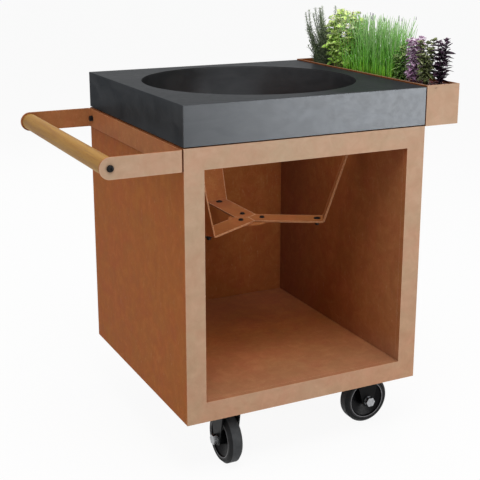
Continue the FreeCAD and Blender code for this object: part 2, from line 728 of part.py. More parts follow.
def caster_axle():
    """Axle bolt with its washer face, and its nut on the far leg."""
    leg_outer = LEG_INNER + FORK_SHEET
    bolt = hexagon(AXLE_ACROSS_FLATS, AXLE_HEAD, -AXLE_HEAD - AXLE_WASHER)
    bolt = bolt.fuse(rod(AXLE_WASHER_RADIUS, AXLE_WASHER, V(0, 0, -AXLE_WASHER)))
    bolt = bolt.fuse(rod(AXLE_RADIUS, 2 * leg_outer + AXLE_WASHER + AXLE_HEAD, V(0, 0, 0)))
    bolt = aimed(bolt, V(CASTER_TRAIL, -leg_outer, WHEEL_RADIUS), BACK)
    nut = hex_nut(AXLE_RADIUS, AXLE_ACROSS_FLATS, AXLE_HEAD)
    nut = aimed(nut, V(CASTER_TRAIL, leg_outer, WHEEL_RADIUS), BACK)
    return grouped([bolt, nut])


def caster_tyre():
    """Tyre with sloped shoulders, as a ring round the wheel centre."""
    half = WHEEL_WIDTH / 2
    outline = [(WHEEL_RADIUS - TYRE_WALL, half), (WHEEL_RADIUS - TYRE_SHOULDER, half),
               (WHEEL_RADIUS, half - TYRE_SHOULDER)]
    mirrored = [(radius, -height) for radius, height in outline[::-1]]
    return aimed(turned(outline + mirrored), V(CASTER_TRAIL, 0, WHEEL_RADIUS), BACK)


def caster_wheel_core():
    """Wheel centre: rim, web dished on both sides and a hub that runs on the axle."""
    half = WHEEL_WIDTH / 2
    rim = WHEEL_RADIUS - TYRE_WALL - TYRE_FIT
    outline = [(AXLE_RADIUS + RUNNING_FIT, HUB_HALF), (HUB_OUTER, HUB_HALF),
               (HUB_OUTER + CORE_DRAFT, CORE_WEB / 2), (rim - CORE_RIM, half - CORE_DISH),
               (rim - CORE_LEDGE, half), (rim, half)]
    mirrored = [(radius, -height) for radius, height in outline[::-1]]
    return aimed(turned(outline + mirrored), V(CASTER_TRAIL, 0, WHEEL_RADIUS), BACK)


def brake_pin():
    reach = LEG_INNER + FORK_SHEET + PIN_END
    return rod(PEDAL_PIN, 2 * reach, V(PEDAL_PIVOT_X, -reach, PEDAL_PIVOT_Z), BACK)


def brake_pedal():
    """Foot pedal on a pin between the legs; its shoe is hollowed to the tyre's curve."""
    pivot = V(PEDAL_PIVOT_X, PEDAL_PIVOT_Z, 0)
    eye = 2 * PEDAL_PIN
    tip = pivot + V(PEDAL_LENGTH, 0, 0)
    outline = [pivot + V(0, eye, 0), tip + V(-14.0, 1.0, 0), tip + V(0, -9.0, 0), tip + V(-1.0, -13.0, 0),
               tip + V(-16.0, -7.0, 0), tip + V(-22.0, -18.0, 0), pivot + V(8.0, -14.0, 0),
               pivot + V(-eye, -1.0, 0), pivot + V(-eye, 1.0, 0)]
    width = 2 * PEDAL_HALF
    lever = Part.Face(Part.makePolygon(outline + outline[:1])).extrude(V(0, 0, width))
    lever = tipped(lever)
    lever.translate(V(0, PEDAL_HALF, 0))
    wheel = rod(WHEEL_RADIUS + SHOE_GAP, width, V(CASTER_TRAIL, -PEDAL_HALF, WHEEL_RADIUS), BACK)
    bore = rod(PEDAL_PIN + RUNNING_FIT, width, V(PEDAL_PIVOT_X, -PEDAL_HALF, PEDAL_PIVOT_Z), BACK)
    return lever.cut(wheel).cut(bore)


def caster_studs():
    """Threaded studs welded under the bottom panel."""
    length = SHEET + NUT_HEIGHT + THREAD_END
    return grouped([rod(M8, length, place, DOWN) for place in caster_stud_places(CASTER_HEIGHT)])


def caster_nuts():
    return grouped([aimed(hex_nut(M8, M8_FLATS, NUT_HEIGHT), place, DOWN)
                    for place in caster_stud_places(PLATE_LOW)])


def at_each_caster(piece):
    return grouped([piece.translated(centre) for centre in caster_centres()])


def caster_nodes():
    """Turning pieces of every caster, each at its own heading."""
    nodes = {}
    for (name, side, end, heading, braked), centre in zip(CASTERS, caster_centres()):
        pieces = {"fork": caster_fork(braked), "axle": caster_axle(), "wheel_core": caster_wheel_core(),
                  "tyre": caster_tyre()}
        if braked:
            pieces["brake_pin"] = brake_pin()
            pieces["brake_pedal"] = brake_pedal()
        for piece, shape in pieces.items():
            nodes[f"caster_{name}_{piece}"] = spun(shape, heading).translated(centre)
    return nodes


# The whole table

def table_nodes():
    nodes = {
        "front_frame": front_frame(),
        "left_side_panel": left_side_panel(),
        "right_side_panel": right_side_panel(),
        "back_panel": back_panel(),
        "left_liner": left_liner(),
        "right_liner": right_liner(),
        "floor_panel": floor_panel(),
        "bottom_panel": bottom_panel(),
        "top_deck": top_deck(),
        "worktop": worktop(),
        "worktop_ring": worktop_ring(),
        "worktop_corner_plates": worktop_corner_plates(),
        "worktop_pads": worktop_pads(),
        "worktop_screws": worktop_screws(),
        "cradle_arm_back": cradle_arm(CRADLE_ANGLES[0]),
        "cradle_arm_left": cradle_arm(CRADLE_ANGLES[1]),
        "cradle_arm_right": cradle_arm(CRADLE_ANGLES[2]),
        "cradle_hub_plate": cradle_hub_plate(),
        "cradle_bolts": cradle_bolts(),
        "cradle_rest_bolts": cradle_rest_bolts(),
        "cradle_nuts": cradle_nuts(),
        "handle_bracket": handle_bracket(),
        "handle_bar": handle_bar(),
        "handle_bar_bolts": handle_bar_bolts(),
        "handle_mount_bolts": handle_mount_bolts(),
        "handle_mount_nuts": handle_mount_nuts(),
        "planter_box": planter_box(),
        "planter_bolts": planter_bolts(),
        "planter_spacers": planter_spacers(),
        "planter_soil": planter_soil(),
        "caster_plates": at_each_caster(caster_plate()),
        "caster_kingpins": at_each_caster(kingpin()),
        "caster_ball_rings": at_each_caster(ball_ring()),
        "caster_studs": caster_studs(),
        "caster_nuts": caster_nuts(),
    }
    for name, offset, half_length, height in HERBS:
        nodes[name] = herb_clump(offset, half_length, height)
    nodes.update(caster_nodes())
    return nodes


def main():
    os.makedirs("parts", exist_ok=True)
    nodes = table_nodes()
    for name, shape in nodes.items():
        shape.translated(V(TABLE_X, 0, 0)).exportStep(f"parts/{name}.step")
        if not shape.isValid():
            print("invalid shape:", name)
    print(len(nodes), "nodes")


main()
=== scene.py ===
import json
import math
import random

import bmesh
import bpy
from mathutils import Matrix, Quaternion, Vector


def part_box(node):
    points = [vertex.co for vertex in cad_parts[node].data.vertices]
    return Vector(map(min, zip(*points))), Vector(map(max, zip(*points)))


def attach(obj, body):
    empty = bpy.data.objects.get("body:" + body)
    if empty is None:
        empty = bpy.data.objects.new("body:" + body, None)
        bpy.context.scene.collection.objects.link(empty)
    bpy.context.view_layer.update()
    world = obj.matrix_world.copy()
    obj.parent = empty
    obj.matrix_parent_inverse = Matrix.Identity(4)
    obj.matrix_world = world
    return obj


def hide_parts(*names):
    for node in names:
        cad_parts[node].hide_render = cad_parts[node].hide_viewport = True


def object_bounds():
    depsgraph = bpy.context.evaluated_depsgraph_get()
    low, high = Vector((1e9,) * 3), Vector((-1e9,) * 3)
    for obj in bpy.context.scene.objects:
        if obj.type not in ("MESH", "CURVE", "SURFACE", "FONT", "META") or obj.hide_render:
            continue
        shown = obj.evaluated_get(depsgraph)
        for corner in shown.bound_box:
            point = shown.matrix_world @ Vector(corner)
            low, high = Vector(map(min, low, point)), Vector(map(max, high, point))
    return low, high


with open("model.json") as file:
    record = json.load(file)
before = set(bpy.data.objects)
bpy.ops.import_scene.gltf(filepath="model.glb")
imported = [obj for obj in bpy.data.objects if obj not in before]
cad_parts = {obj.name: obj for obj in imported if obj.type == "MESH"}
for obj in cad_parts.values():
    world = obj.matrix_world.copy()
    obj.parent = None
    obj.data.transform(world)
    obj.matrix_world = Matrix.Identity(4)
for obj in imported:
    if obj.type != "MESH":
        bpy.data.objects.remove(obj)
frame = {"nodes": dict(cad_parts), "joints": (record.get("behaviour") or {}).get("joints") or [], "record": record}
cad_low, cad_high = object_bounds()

# The looks of a wheeled grill table: weathering steel, a satin black worktop, a wooden handle, rubber
# wheels and a planter of herbs. Everything is in metres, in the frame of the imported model.

NODES = frame["nodes"]
COORDINATES = "coordinates"
front_low, front_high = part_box("front_frame")
FRONT_Y = front_low.y
CABINET_X = (front_low.x + front_high.x) / 2
CABINET_HALF = (front_high.x - front_low.x) / 2
SKIN_DEPTH = 0.0015
FLOOR_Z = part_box("floor_panel")[1].z
RIM_BAND = 0.004
RIM_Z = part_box("planter_box")[1].z - RIM_BAND
core_low, core_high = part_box("caster_front_right_wheel_core")
TYRE_INNER = (core_high.z - core_low.z) / 2


# Node helpers

def srgb(red, green, blue):
    """Linear colour of 0 to 255 screen values."""
    def linear(value):
        value /= 255
        return value / 12.92 if value <= 0.04045 else ((value + 0.055) / 1.055) ** 2.4
    return (linear(red), linear(green), linear(blue), 1.0)


class Shader:
    """A material and the few kinds of node that the finishes here are made of."""

    def __init__(self, name):
        self.material = bpy.data.materials.new(name)
        self.material.use_nodes = True
        self.tree = self.material.node_tree
        self.surface = self.tree.nodes["Principled BSDF"]
        coordinates = self.add("ShaderNodeTexCoord")
        coordinates.name = COORDINATES
        self.place = coordinates.outputs["Object"]

    def add(self, kind, inputs=(), **settings):
        """A new node; each of its inputs takes a value or the socket of another node."""
        made = self.tree.nodes.new(kind)
        for key, value in settings.items():
            setattr(made, key, value)
        for key, value in dict(inputs).items():
            self.put(made.inputs[key], value)
        return made

    def put(self, socket, value):
        if isinstance(value, bpy.types.NodeSocket):
            self.tree.links.new(value, socket)
        else:
            socket.default_value = value

    def stretched(self, scale):
        """Coordinates multiplied along each axis."""
        return self.add("ShaderNodeMapping", {"Vector": self.place, "Scale": scale}).outputs["Vector"]

    def noise(self, scale, detail=3.0, rough=0.55, stretch=None, distortion=0.0):
        """Cloudy values about 0.5, scaled per metre; stretch scales each axis on its own."""
        place = self.stretched(stretch) if stretch else self.place
        made = self.add("ShaderNodeTexNoise", {"Vector": place, "Scale": scale, "Detail": detail,
                                               "Roughness": rough, "Distortion": distortion})
        return made.outputs["Fac"]

    def ramp(self, factor, stops):
        """Colour of a factor, from stops of position and colour."""
        made = self.add("ShaderNodeValToRGB", {"Fac": factor})
        ramp = made.color_ramp
        while len(ramp.elements) < len(stops):
            ramp.elements.new(0.5)
        for element, (position, colour) in zip(ramp.elements, stops):
            element.position = position
            element.color = colour
        return made.outputs["Color"]

    def mix(self, factor, first, second, blend="MIX"):
        made = self.add("ShaderNodeMix", data_type="RGBA", blend_type=blend)
        self.put(made.inputs[0], factor)
        self.put(made.inputs[6], first)
        self.put(made.inputs[7], second)
        return made.outputs[2]

    def span(self, value, low, high, to_low=0.0, to_high=1.0):
        """Value taken from one range to another, kept within it."""
        made = self.add("ShaderNodeMapRange", {"Value": value, "From Min": low, "From Max": high,
                                               "To Min": to_low, "To Max": to_high})
        return made.outputs["Result"]

    def math(self, operation, first, second=0.0):
        made = self.add("ShaderNodeMath", operation=operation)
        self.put(made.inputs[0], first)
        self.put(made.inputs[1], second)
        return made.outputs[0]

    def edges(self, radius):
        """1 along the edges of the piece, 0 on its flats."""
        rounded = self.add("ShaderNodeBevel", {"Radius": radius}, samples=4).outputs["Normal"]
        normal = self.add("ShaderNodeNewGeometry").outputs["Normal"]
        likeness = self.add("ShaderNodeVectorMath", {0: rounded, 1: normal}, operation="DOT_PRODUCT")
        return self.span(likeness.outputs["Value"], 0.995, 0.85)

    def looking(self, axis):
        """How far a face looks along an axis, from -1 to 1."""
        normal = self.tree.nodes[COORDINATES].outputs["Normal"]
        return self.add("ShaderNodeSeparateXYZ", {0: normal}).outputs[axis]

    def forward(self):
        """1 on faces that look forward, 0 on the others."""
        return self.span(self.looking(1), -0.6, -0.9)

    def upward(self):
        """1 on faces that look up, 0 on the others."""
        return self.span(self.looking(2), 0.6, 0.9)

    def front_faces(self):
        """1 on the faces in the front plane of the table that look forward, 0 elsewhere."""
        depth = self.add("ShaderNodeSeparateXYZ", {0: self.place}).outputs[1]
        return self.math("MULTIPLY", self.forward(), self.span(depth, FRONT_Y + 0.03, FRONT_Y + 0.01))

    def crevices(self, reach, clear=0.85, deep=0.35):
        """1 deep in seams and corners, 0 in the open, by how much of the sky a point sees within reach."""
        open_share = self.add("ShaderNodeAmbientOcclusion", {"Distance": reach}, samples=4).outputs["AO"]
        return self.span(open_share, clear, deep)

    def vector(self, operation, first, second):
        return self.add("ShaderNodeVectorMath", {0: first, 1: second}, operation=operation)

    def about_axle(self, joint):
        """Distance of a point from a wheel's axle, and how far its face looks along the axle."""
        axis = Vector(joint["axis"]).normalized()
        offset = self.vector("SUBTRACT", self.place, joint["pos_m"]).outputs[0]
        distance = self.vector("CROSS_PRODUCT", offset, axis).outputs[0]
        radius = self.add("ShaderNodeVectorMath", {0: distance}, operation="LENGTH").outputs["Value"]
        normal = self.tree.nodes[COORDINATES].outputs["Normal"]
        sideways = self.vector("DOT_PRODUCT", normal, axis).outputs["Value"]
        return radius, self.math("ABSOLUTE", sideways)

    def bump(self, height, depth, strength, under=None):
        """Normals of a height that is depth metres at 1, laid over other normals where under gives them."""
        inputs = {"Height": height, "Distance": depth, "Strength": strength}
        if under:
            inputs["Normal"] = under
        return self.add("ShaderNodeBump", inputs).outputs["Normal"]

    def finish(self, **values):
        """The material, with the named inputs of its surface set."""
        for key, value in values.items():
            self.put(self.surface.inputs[key.replace("_", " ")], value)
        return self.material


# Finishes

PAINTED_REAR_SHADE = srgb(72, 38, 40)
WORN_EDGE_HIGHLIGHT = srgb(226, 182, 146)
CORNER_SHADE = srgb(62, 28, 16)
SEAM_SHADE = srgb(64, 30, 18)
SHEEN_HEIGHTS = (0.15, 0.76)
LIT_FRONT_DEPTHS = (0.02, 0.34)
REAR_SHADE_DEPTHS = (0.2, 0.54)
FLOOR_HEIGHTS = (0.005, 0.06)


def rust(s, clouds, patches, blotches, grain):
    """Cloudy browns with faint run marks, grain, small scratches and nicks."""
    runs = s.noise(1.0, 3.0, 0.55, stretch=(34.0, 34.0, 4.0), distortion=0.5)
    scratches = s.noise(1.0, 3.0, 0.7, stretch=(230.0, 210.0, 34.0), distortion=2.2)
    nicks = s.noise(1.0, 2.0, 0.6, stretch=(200.0, 200.0, 46.0), distortion=1.6)
    colour = s.ramp(clouds, [(0.34, srgb(160, 84, 45)), (0.5, srgb(158, 91, 44)),
                             (0.66, srgb(152, 97, 46))])
    hues = s.ramp(patches, [(0.36, srgb(166, 83, 50)), (0.5, srgb(156, 90, 44)),
                            (0.64, srgb(149, 101, 48))])
    spots = s.ramp(blotches, [(0.34, srgb(136, 71, 37)), (0.5, srgb(156, 89, 44)),
                              (0.66, srgb(182, 115, 63))])
    marks = s.ramp(runs, [(0.36, srgb(140, 70, 32)), (0.5, srgb(158, 86, 36)), (0.64, srgb(172, 104, 50))])
    fine = s.ramp(grain, [(0.3, srgb(128, 62, 28)), (0.7, srgb(184, 114, 60))])
    colour = s.mix(0.45, colour, hues)
    colour = s.mix(0.4, colour, spots)
    colour = s.mix(s.span(clouds, 0.45, 0.65, 0.0, 0.22), colour, marks)
    colour = s.mix(0.2, colour, fine)
    colour = s.mix(s.span(scratches, 0.61, 0.70, 0.0, 0.26), colour, srgb(208, 162, 122))
    return s.mix(s.span(nicks, 0.66, 0.74, 0.0, 0.28), colour, srgb(212, 168, 128))


def sheen_tan(s, clouds, patches, blotches):
    """The pale tan painted over the rust as sheen and light."""
    tan = s.ramp(clouds, [(0.36, srgb(180, 143, 118)), (0.5, srgb(177, 148, 124)),
                          (0.64, srgb(174, 153, 129))])
    tan = s.mix(0.35, tan, s.ramp(patches, [(0.36, srgb(186, 143, 119)), (0.64, srgb(170, 152, 125))]))
    return s.mix(0.3, tan, s.ramp(blotches, [(0.3, srgb(158, 128, 103)), (0.7, srgb(194, 169, 147))]))


def sheen_and_shade_masks(s):
    """How much tan a point of the cabinet takes (painted sheen on the front faces, a painted pool of light just
    behind the opening, the planter's rim tops), how much painted shade far back inside, and whether it
    lies outside, from 0 to 1.
    """
    place = s.add("ShaderNodeSeparateXYZ", {0: s.place})
    across, depth, height = place.outputs
    aside = s.math("ABSOLUTE", s.math("SUBTRACT", across, CABINET_X))
    inside = s.span(aside, CABINET_HALF, CABINET_HALF - SKIN_DEPTH)
    outside = s.math("SUBTRACT", 1.0, inside)
    # Painted light: inside, just behind the opening, the steel is made paler, most near the floor.
    near_floor = s.span(height, FLOOR_Z + FLOOR_HEIGHTS[1], FLOOR_Z + FLOOR_HEIGHTS[0], 0.45, 1.0)
    near_front = s.span(depth, FRONT_Y + LIT_FRONT_DEPTHS[1], FRONT_Y + LIT_FRONT_DEPTHS[0], 0.0, 0.3)
    lit_front = s.math("MULTIPLY", near_front, near_floor)
    # Painted sheen: forward faces in the front plane take tan, more towards the top and a little less to the
    # right.
    low_share = s.span(across, CABINET_X, CABINET_X + CABINET_HALF, 0.71, 0.6)
    front_sheen = s.math("MULTIPLY", s.front_faces(), s.span(height, *SHEEN_HEIGHTS, low_share, 0.95))
    rim = s.math("MULTIPLY", s.upward(), s.span(height, RIM_Z, RIM_Z + 0.002, 0.0, 0.8))
    tan_share = s.math("MAXIMUM", front_sheen, s.math("MULTIPLY", lit_front, inside))
    tan_share = s.math("MAXIMUM", tan_share, rim)
    # Painted shade: far back inside the cabinet the steel is darkened, less on faces that look forward.
    far_back = s.span(depth, FRONT_Y + REAR_SHADE_DEPTHS[0], FRONT_Y + REAR_SHADE_DEPTHS[1])
    rear = s.math("MULTIPLY", far_back, inside)
    rear_shade = s.math("MULTIPLY", rear, s.span(s.forward(), 0.0, 1.0, 0.5, 0.12))
    return tan_share, rear_shade, outside


def weathering_steel(name, pale, edge_reach=0.0012, edge_wear_highlight=0.4, crease_shade=1.0):
    """Matt rust patina with painted shade in its seams and corners; its edges are lighter as far in as
    edge_reach, partly worn and partly a painted highlight.

    The front faces take tan as a painted sheen and the planter's rim tops take tan too; just behind the
    opening the steel is made paler as a painted pool of light, and far back in the cabinet it is darkened
    as painted shade. Pale is the least share of tan anywhere, and the last argument is how much of the
    painted shade in seams and corners the piece takes.
    """
    s = Shader(name)
    clouds = s.noise(5.5, 4.0, 0.55, distortion=0.4)
    patches = s.noise(15.0, 4.0, 0.6, distortion=0.8)
    blotches = s.noise(34.0, 5.0, 0.65, distortion=0.6)
    grain = s.noise(420.0, 3.0, 0.6)
    tan_share, rear_shade, outside = sheen_and_shade_masks(s)
    tan = sheen_tan(s, clouds, patches, blotches)
    # Tan where the painted sheen and light fall and on the planter's rim tops, and at least pale everywhere.
    colour = s.mix(s.math("MAXIMUM", tan_share, pale), rust(s, clouds, patches, blotches, grain), tan)
    # Painted shade far back inside the cabinet.
    colour = s.mix(rear_shade, colour, PAINTED_REAR_SHADE)
    # Lighter edges: partly worn, partly a painted highlight, strongest on the cradle's straps.
    colour = s.mix(s.math("MULTIPLY", s.edges(edge_reach), edge_wear_highlight), colour, WORN_EDGE_HIGHLIGHT)
    # Painted shade in corners, by how little of the sky a point sees nearby, stronger outside the cabinet.
    corners = s.math("MULTIPLY", s.crevices(0.012), s.span(outside, 0.0, 1.0, 0.28, 0.6 * crease_shade))
    colour = s.mix(corners, colour, CORNER_SHADE)
    # Painted shadow lines along tight seams outside the cabinet, such as under the handle's plate.
    seams = s.math("MULTIPLY", s.crevices(0.006, 0.94, 0.72), s.math("MULTIPLY", outside, 0.42 * crease_shade))
    colour = s.mix(seams, colour, SEAM_SHADE)
    roughness = s.math("ADD", s.span(blotches, 0.3, 0.7, 0.5, 0.62), s.span(grain, 0.3, 0.7, -0.03, 0.03))
    normal = s.bump(grain, 0.0001, 0.6, s.bump(blotches, 0.0002, 0.4))
    return s.finish(Base_Color=colour, Roughness=roughness, Normal=normal, Specular_IOR_Level=0.12, IOR=1.2)


def satin_black():
    """Graphite coat on sheet: a fine orange peel, faint wiping marks and slightly lighter edges, a painted
    highlight.
    """
    s = Shader("satin_black")
    peel = s.noise(900.0, 2.0, 0.5)
    wipes = s.noise(1.0, 5.0, 0.6, stretch=(9.0, 9.0, 22.0), distortion=0.8)
    dust = s.noise(60.0, 6.0, 0.7)
    colour = s.ramp(wipes, [(0.35, (0.063, 0.067, 0.072, 1)), (0.65, (0.077, 0.081, 0.086, 1))])
    colour = s.mix(s.span(dust, 0.55, 0.75, 0.0, 0.25), colour, (0.085, 0.087, 0.092, 1))
    # Painted highlight along the edges.
    colour = s.mix(s.math("MULTIPLY", s.edges(0.0015), 0.5), colour, (0.16, 0.16, 0.165, 1))
    roughness = s.math("ADD", s.span(wipes, 0.3, 0.7, 0.3, 0.38), s.span(dust, 0.4, 0.7, -0.02, 0.04))
    return s.finish(Base_Color=colour, Metallic=0.72, Roughness=roughness,
                    Normal=s.bump(peel, 0.00006, 0.5), Specular_Tint=(0.33, 0.33, 0.33, 1),
                    Specular_IOR_Level=0.0)


def black_metal(name, tone, rough, gloss=0.16):
    """Black pressed or oxidised steel whose edges are lighter, partly worn and partly a painted highlight."""
    s = Shader(name)
    cloud = s.noise(90.0, 4.0, 0.6)
    colour = s.mix(cloud, (tone, tone, tone * 1.1, 1), (tone * 1.9, tone * 1.9, tone * 2.1, 1))
    # Lighter edges: partly worn, partly a painted highlight.
    colour = s.mix(s.math("MULTIPLY", s.edges(0.0006), 0.3), colour, (0.12, 0.12, 0.13, 1))
    return s.finish(Base_Color=colour, Roughness=s.span(cloud, 0.3, 0.7, rough, rough + 0.14),
                    Normal=s.bump(s.noise(700.0, 2.0), 0.00005, 0.5), Specular_IOR_Level=gloss)


def zinc():
    """Bright zinc plating with a faint spangle, darkened in its crevices as painted shade."""
    s = Shader("zinc")
    cloud = s.noise(160.0, 4.0, 0.6)
    colour = s.mix(cloud, srgb(120, 122, 125), srgb(186, 187, 189))
    # Painted shade in the crevices.
    colour = s.mix(s.math("MULTIPLY", s.crevices(0.008), 0.7), colour, srgb(70, 70, 72))
    return s.finish(Base_Color=colour, Metallic=1.0, Roughness=s.span(cloud, 0.3, 0.7, 0.2, 0.36),
                    Normal=s.bump(s.noise(800.0, 2.0), 0.00004, 0.5))


def oiled_wood():
    """Oiled hardwood with its grain along the bar."""
    s = Shader("oiled_wood")
    figure = s.noise(1.0, 4.0, 0.55, stretch=(60.0, 3.5, 60.0), distortion=0.7)
    lines = s.noise(1.0, 3.0, 0.6, stretch=(420.0, 9.0, 420.0), distortion=0.3)
    pores = s.noise(1.0, 2.0, 0.5, stretch=(1100.0, 55.0, 1100.0))
    colour = s.ramp(figure, [(0.3, srgb(136, 90, 32)), (0.5, srgb(153, 110, 44)),
                             (0.7, srgb(168, 127, 57))])
    colour = s.mix(0.3, colour, s.ramp(lines, [(0.35, srgb(122, 80, 30)), (0.6, srgb(172, 131, 63))]))
    colour = s.mix(s.span(pores, 0.6, 0.72, 0.0, 0.55), colour, srgb(98, 60, 22))
    normal = s.bump(s.math("SUBTRACT", 1.0, pores), 0.00015, 0.5, s.bump(lines, 0.0001, 0.5))
    return s.finish(Base_Color=colour, Roughness=s.span(lines, 0.3, 0.7, 0.5, 0.64), Normal=normal,
                    Specular_IOR_Level=0.2)


def pad_rubber():
    """Matt black rubber with a fine moulded skin."""
    s = Shader("pad_rubber")
    scuffs = s.noise(55.0, 5.0, 0.65)
    colour = s.mix(s.span(scuffs, 0.45, 0.75), (0.012, 0.012, 0.01248, 1), (0.024, 0.024, 0.024, 1))
    return s.finish(Base_Color=colour, Roughness=s.span(scuffs, 0.3, 0.7, 0.5, 0.64),
                    Normal=s.bump(s.noise(520.0, 3.0, 0.6), 0.00012, 0.6), Specular_IOR_Level=0.15)


RING_OFFSET = 0.0022
RING_HALF_WIDTH = 0.0009
LIP_OFFSET = -0.0012
LIP_HALF_WIDTHS = (0.0014, 0.0006)


def tyre_rubber(corner, joint):
    """Tyre: a tread worn to grey, walls painted near black as shade, and a fine raised ring beside the
    wheel centre that is painted lighter as a highlight.
    """
    s = Shader("tyre_" + corner)
    radius, sideways = s.about_axle(joint)
    scuffs = s.noise(60.0, 5.0, 0.65)
    skin = s.noise(520.0, 3.0, 0.6)
    # Painted shade: the walls are near black.
    wall = s.mix(s.span(scuffs, 0.4, 0.75), (0.0028, 0.0029, 0.0032, 1), (0.0075, 0.0077, 0.008, 1))
    tread = s.mix(s.span(scuffs, 0.35, 0.7), (0.030, 0.032, 0.034, 1), (0.052, 0.054, 0.056, 1))
    colour = s.mix(s.span(sideways, 0.9, 0.15), wall, tread)
    # Painted highlight: the fine ring is lighter, and it also rises as a bump.
    from_ring = s.math("ABSOLUTE", s.math("SUBTRACT", radius, TYRE_INNER + RING_OFFSET))
    ring = s.span(from_ring, RING_HALF_WIDTH, 0.0)
    colour = s.mix(s.math("MULTIPLY", ring, sideways), colour, (0.05, 0.05, 0.052, 1))
    normal = s.bump(ring, 0.0006, 0.8, s.bump(skin, 0.00012, 0.6))
    return s.finish(Base_Color=colour, Roughness=s.span(scuffs, 0.3, 0.7, 0.48, 0.62), Normal=normal,
                    Specular_IOR_Level=0.12)


def moulded_plastic(corner, joint):
    """Satin black wheel centre; its outer lip is painted pale as a highlight."""
    s = Shader("wheel_plastic_" + corner)
    radius, sideways = s.about_axle(joint)
    cloud = s.noise(240.0, 3.0, 0.6)
    colour = s.mix(cloud, (0.0025, 0.0025, 0.003, 1), (0.005, 0.005, 0.006, 1))
    # Painted highlight: a pale band round the outer lip, varied by the cloud.
    from_lip = s.math("ABSOLUTE", s.math("SUBTRACT", radius, TYRE_INNER + LIP_OFFSET))
    lip = s.span(from_lip, *LIP_HALF_WIDTHS)
    lip_highlight = s.math("MULTIPLY", lip, s.span(cloud, 0.3, 0.7, 0.75, 1.0))
    colour = s.mix(lip_highlight, colour, (0.22, 0.22, 0.23, 1))
    return s.finish(Base_Color=colour, Roughness=s.span(cloud, 0.3, 0.7, 0.26, 0.38),
                    Normal=s.bump(cloud, 0.00005, 0.5), Specular_IOR_Level=0.06)


def potting_soil():
    """Dark crumbly soil with damp patches."""
    s = Shader("potting_soil")
    crumbs = s.noise(210.0, 6.0, 0.7)
    patches = s.noise(36.0, 4.0, 0.6)
    colour = s.ramp(crumbs, [(0.34, srgb(22, 8, 7)), (0.5, srgb(60, 26, 20)), (0.68, srgb(112, 62, 44))])
    colour = s.mix(0.35, colour, s.ramp(patches, [(0.4, srgb(44, 14, 12)), (0.62, srgb(96, 42, 30))]))
    return s.finish(Base_Color=colour, Roughness=0.92, Normal=s.bump(crumbs, 0.0018, 0.9))


def foliage(name, stops, rough=0.5, blot=(130.0, 130.0, 130.0), light_through=0.6):
    """Leaves that let light through: the tint stored on the mesh picks the shade, and blotches vary it."""
    s = Shader(name)
    tint = s.add("ShaderNodeAttribute", attribute_name="tint").outputs["Fac"]
    blotch = s.noise(1.0, 3.0, 0.6, stretch=blot)
    shade = s.math("ADD", s.math("MULTIPLY", tint, 0.86), s.span(blotch, 0.3, 0.7, 0.0, 0.14))
    share = 1 / (len(stops) - 1)
    colour = s.ramp(shade, [(i * share, stop) for i, stop in enumerate(stops)])
    mottle = s.span(s.noise(1.0, 2.0, 0.5, stretch=[2.3 * x for x in blot]), 0.35, 0.65, 0.72, 1.3)
    grey = s.add("ShaderNodeCombineXYZ", {0: mottle, 1: mottle, 2: mottle}).outputs[0]
    colour = s.mix(1.0, colour, grey, "MULTIPLY")
    return s.finish(Base_Color=colour, Roughness=rough, Normal=s.bump(s.noise(420.0, 2.0), 0.0003, 0.5),
                    Specular_IOR_Level=0.3, Subsurface_Weight=light_through,
                    Subsurface_Radius=(1.0, 1.0, 1.0), Subsurface_Scale=0.001)


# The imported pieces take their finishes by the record's material slots

def dress(material, nodes):
    for name in nodes:
        mesh = NODES[name].data
        mesh.materials.clear()
        mesh.materials.append(material)


def dress_all():
    """A finish for each slot; tyres and wheel centres have one each, drawn about their own axle."""
    finishes = {
        "weathering_steel": weathering_steel("weathering_steel", 0.0),
        "black_coat": satin_black(),
        "black_fastener": black_metal("black_oxide", 0.005, 0.3),
        "black_fork": black_metal("black_paint", 0.0025, 0.3, 0.08),
        "zinc": zinc(),
        "hardwood": oiled_wood(),
        "pad_rubber": pad_rubber(),
    }
    slots = {}
    for part in frame["record"]["subparts"]:
        slots.setdefault(part["material_slot"], []).append(part["node"])
    for slot, material in finishes.items():
        dress(material, slots[slot])
    dress(weathering_steel("weathering_steel_handle", 0.14, crease_shade=0.3), ["handle_bracket"])
    arms = [name for name in NODES if name.startswith("cradle_arm_")]
    dress(weathering_steel("weathering_steel_cradle", 0.06, 0.003, 0.85), arms)
    for joint in frame["joints"]:
        if joint["name"].endswith("_wheel_roll"):
            corner = joint["name"].removesuffix("_wheel_roll")
            dress(tyre_rubber(corner, joint), [f"caster_{corner}_tyre"])
            dress(moulded_plastic(corner, joint), [f"caster_{corner}_wheel_core"])


# Mesh code for the plants

LEAF_WIDEST = 0.42
LEAF_HALF_THICK = 0.0004
SHORTEST_LEAF = 0.35
LEAF_LIMIT_X = cad_high.x - 0.0005
LEAF_LIMIT_Y = cad_low.y + 0.0015


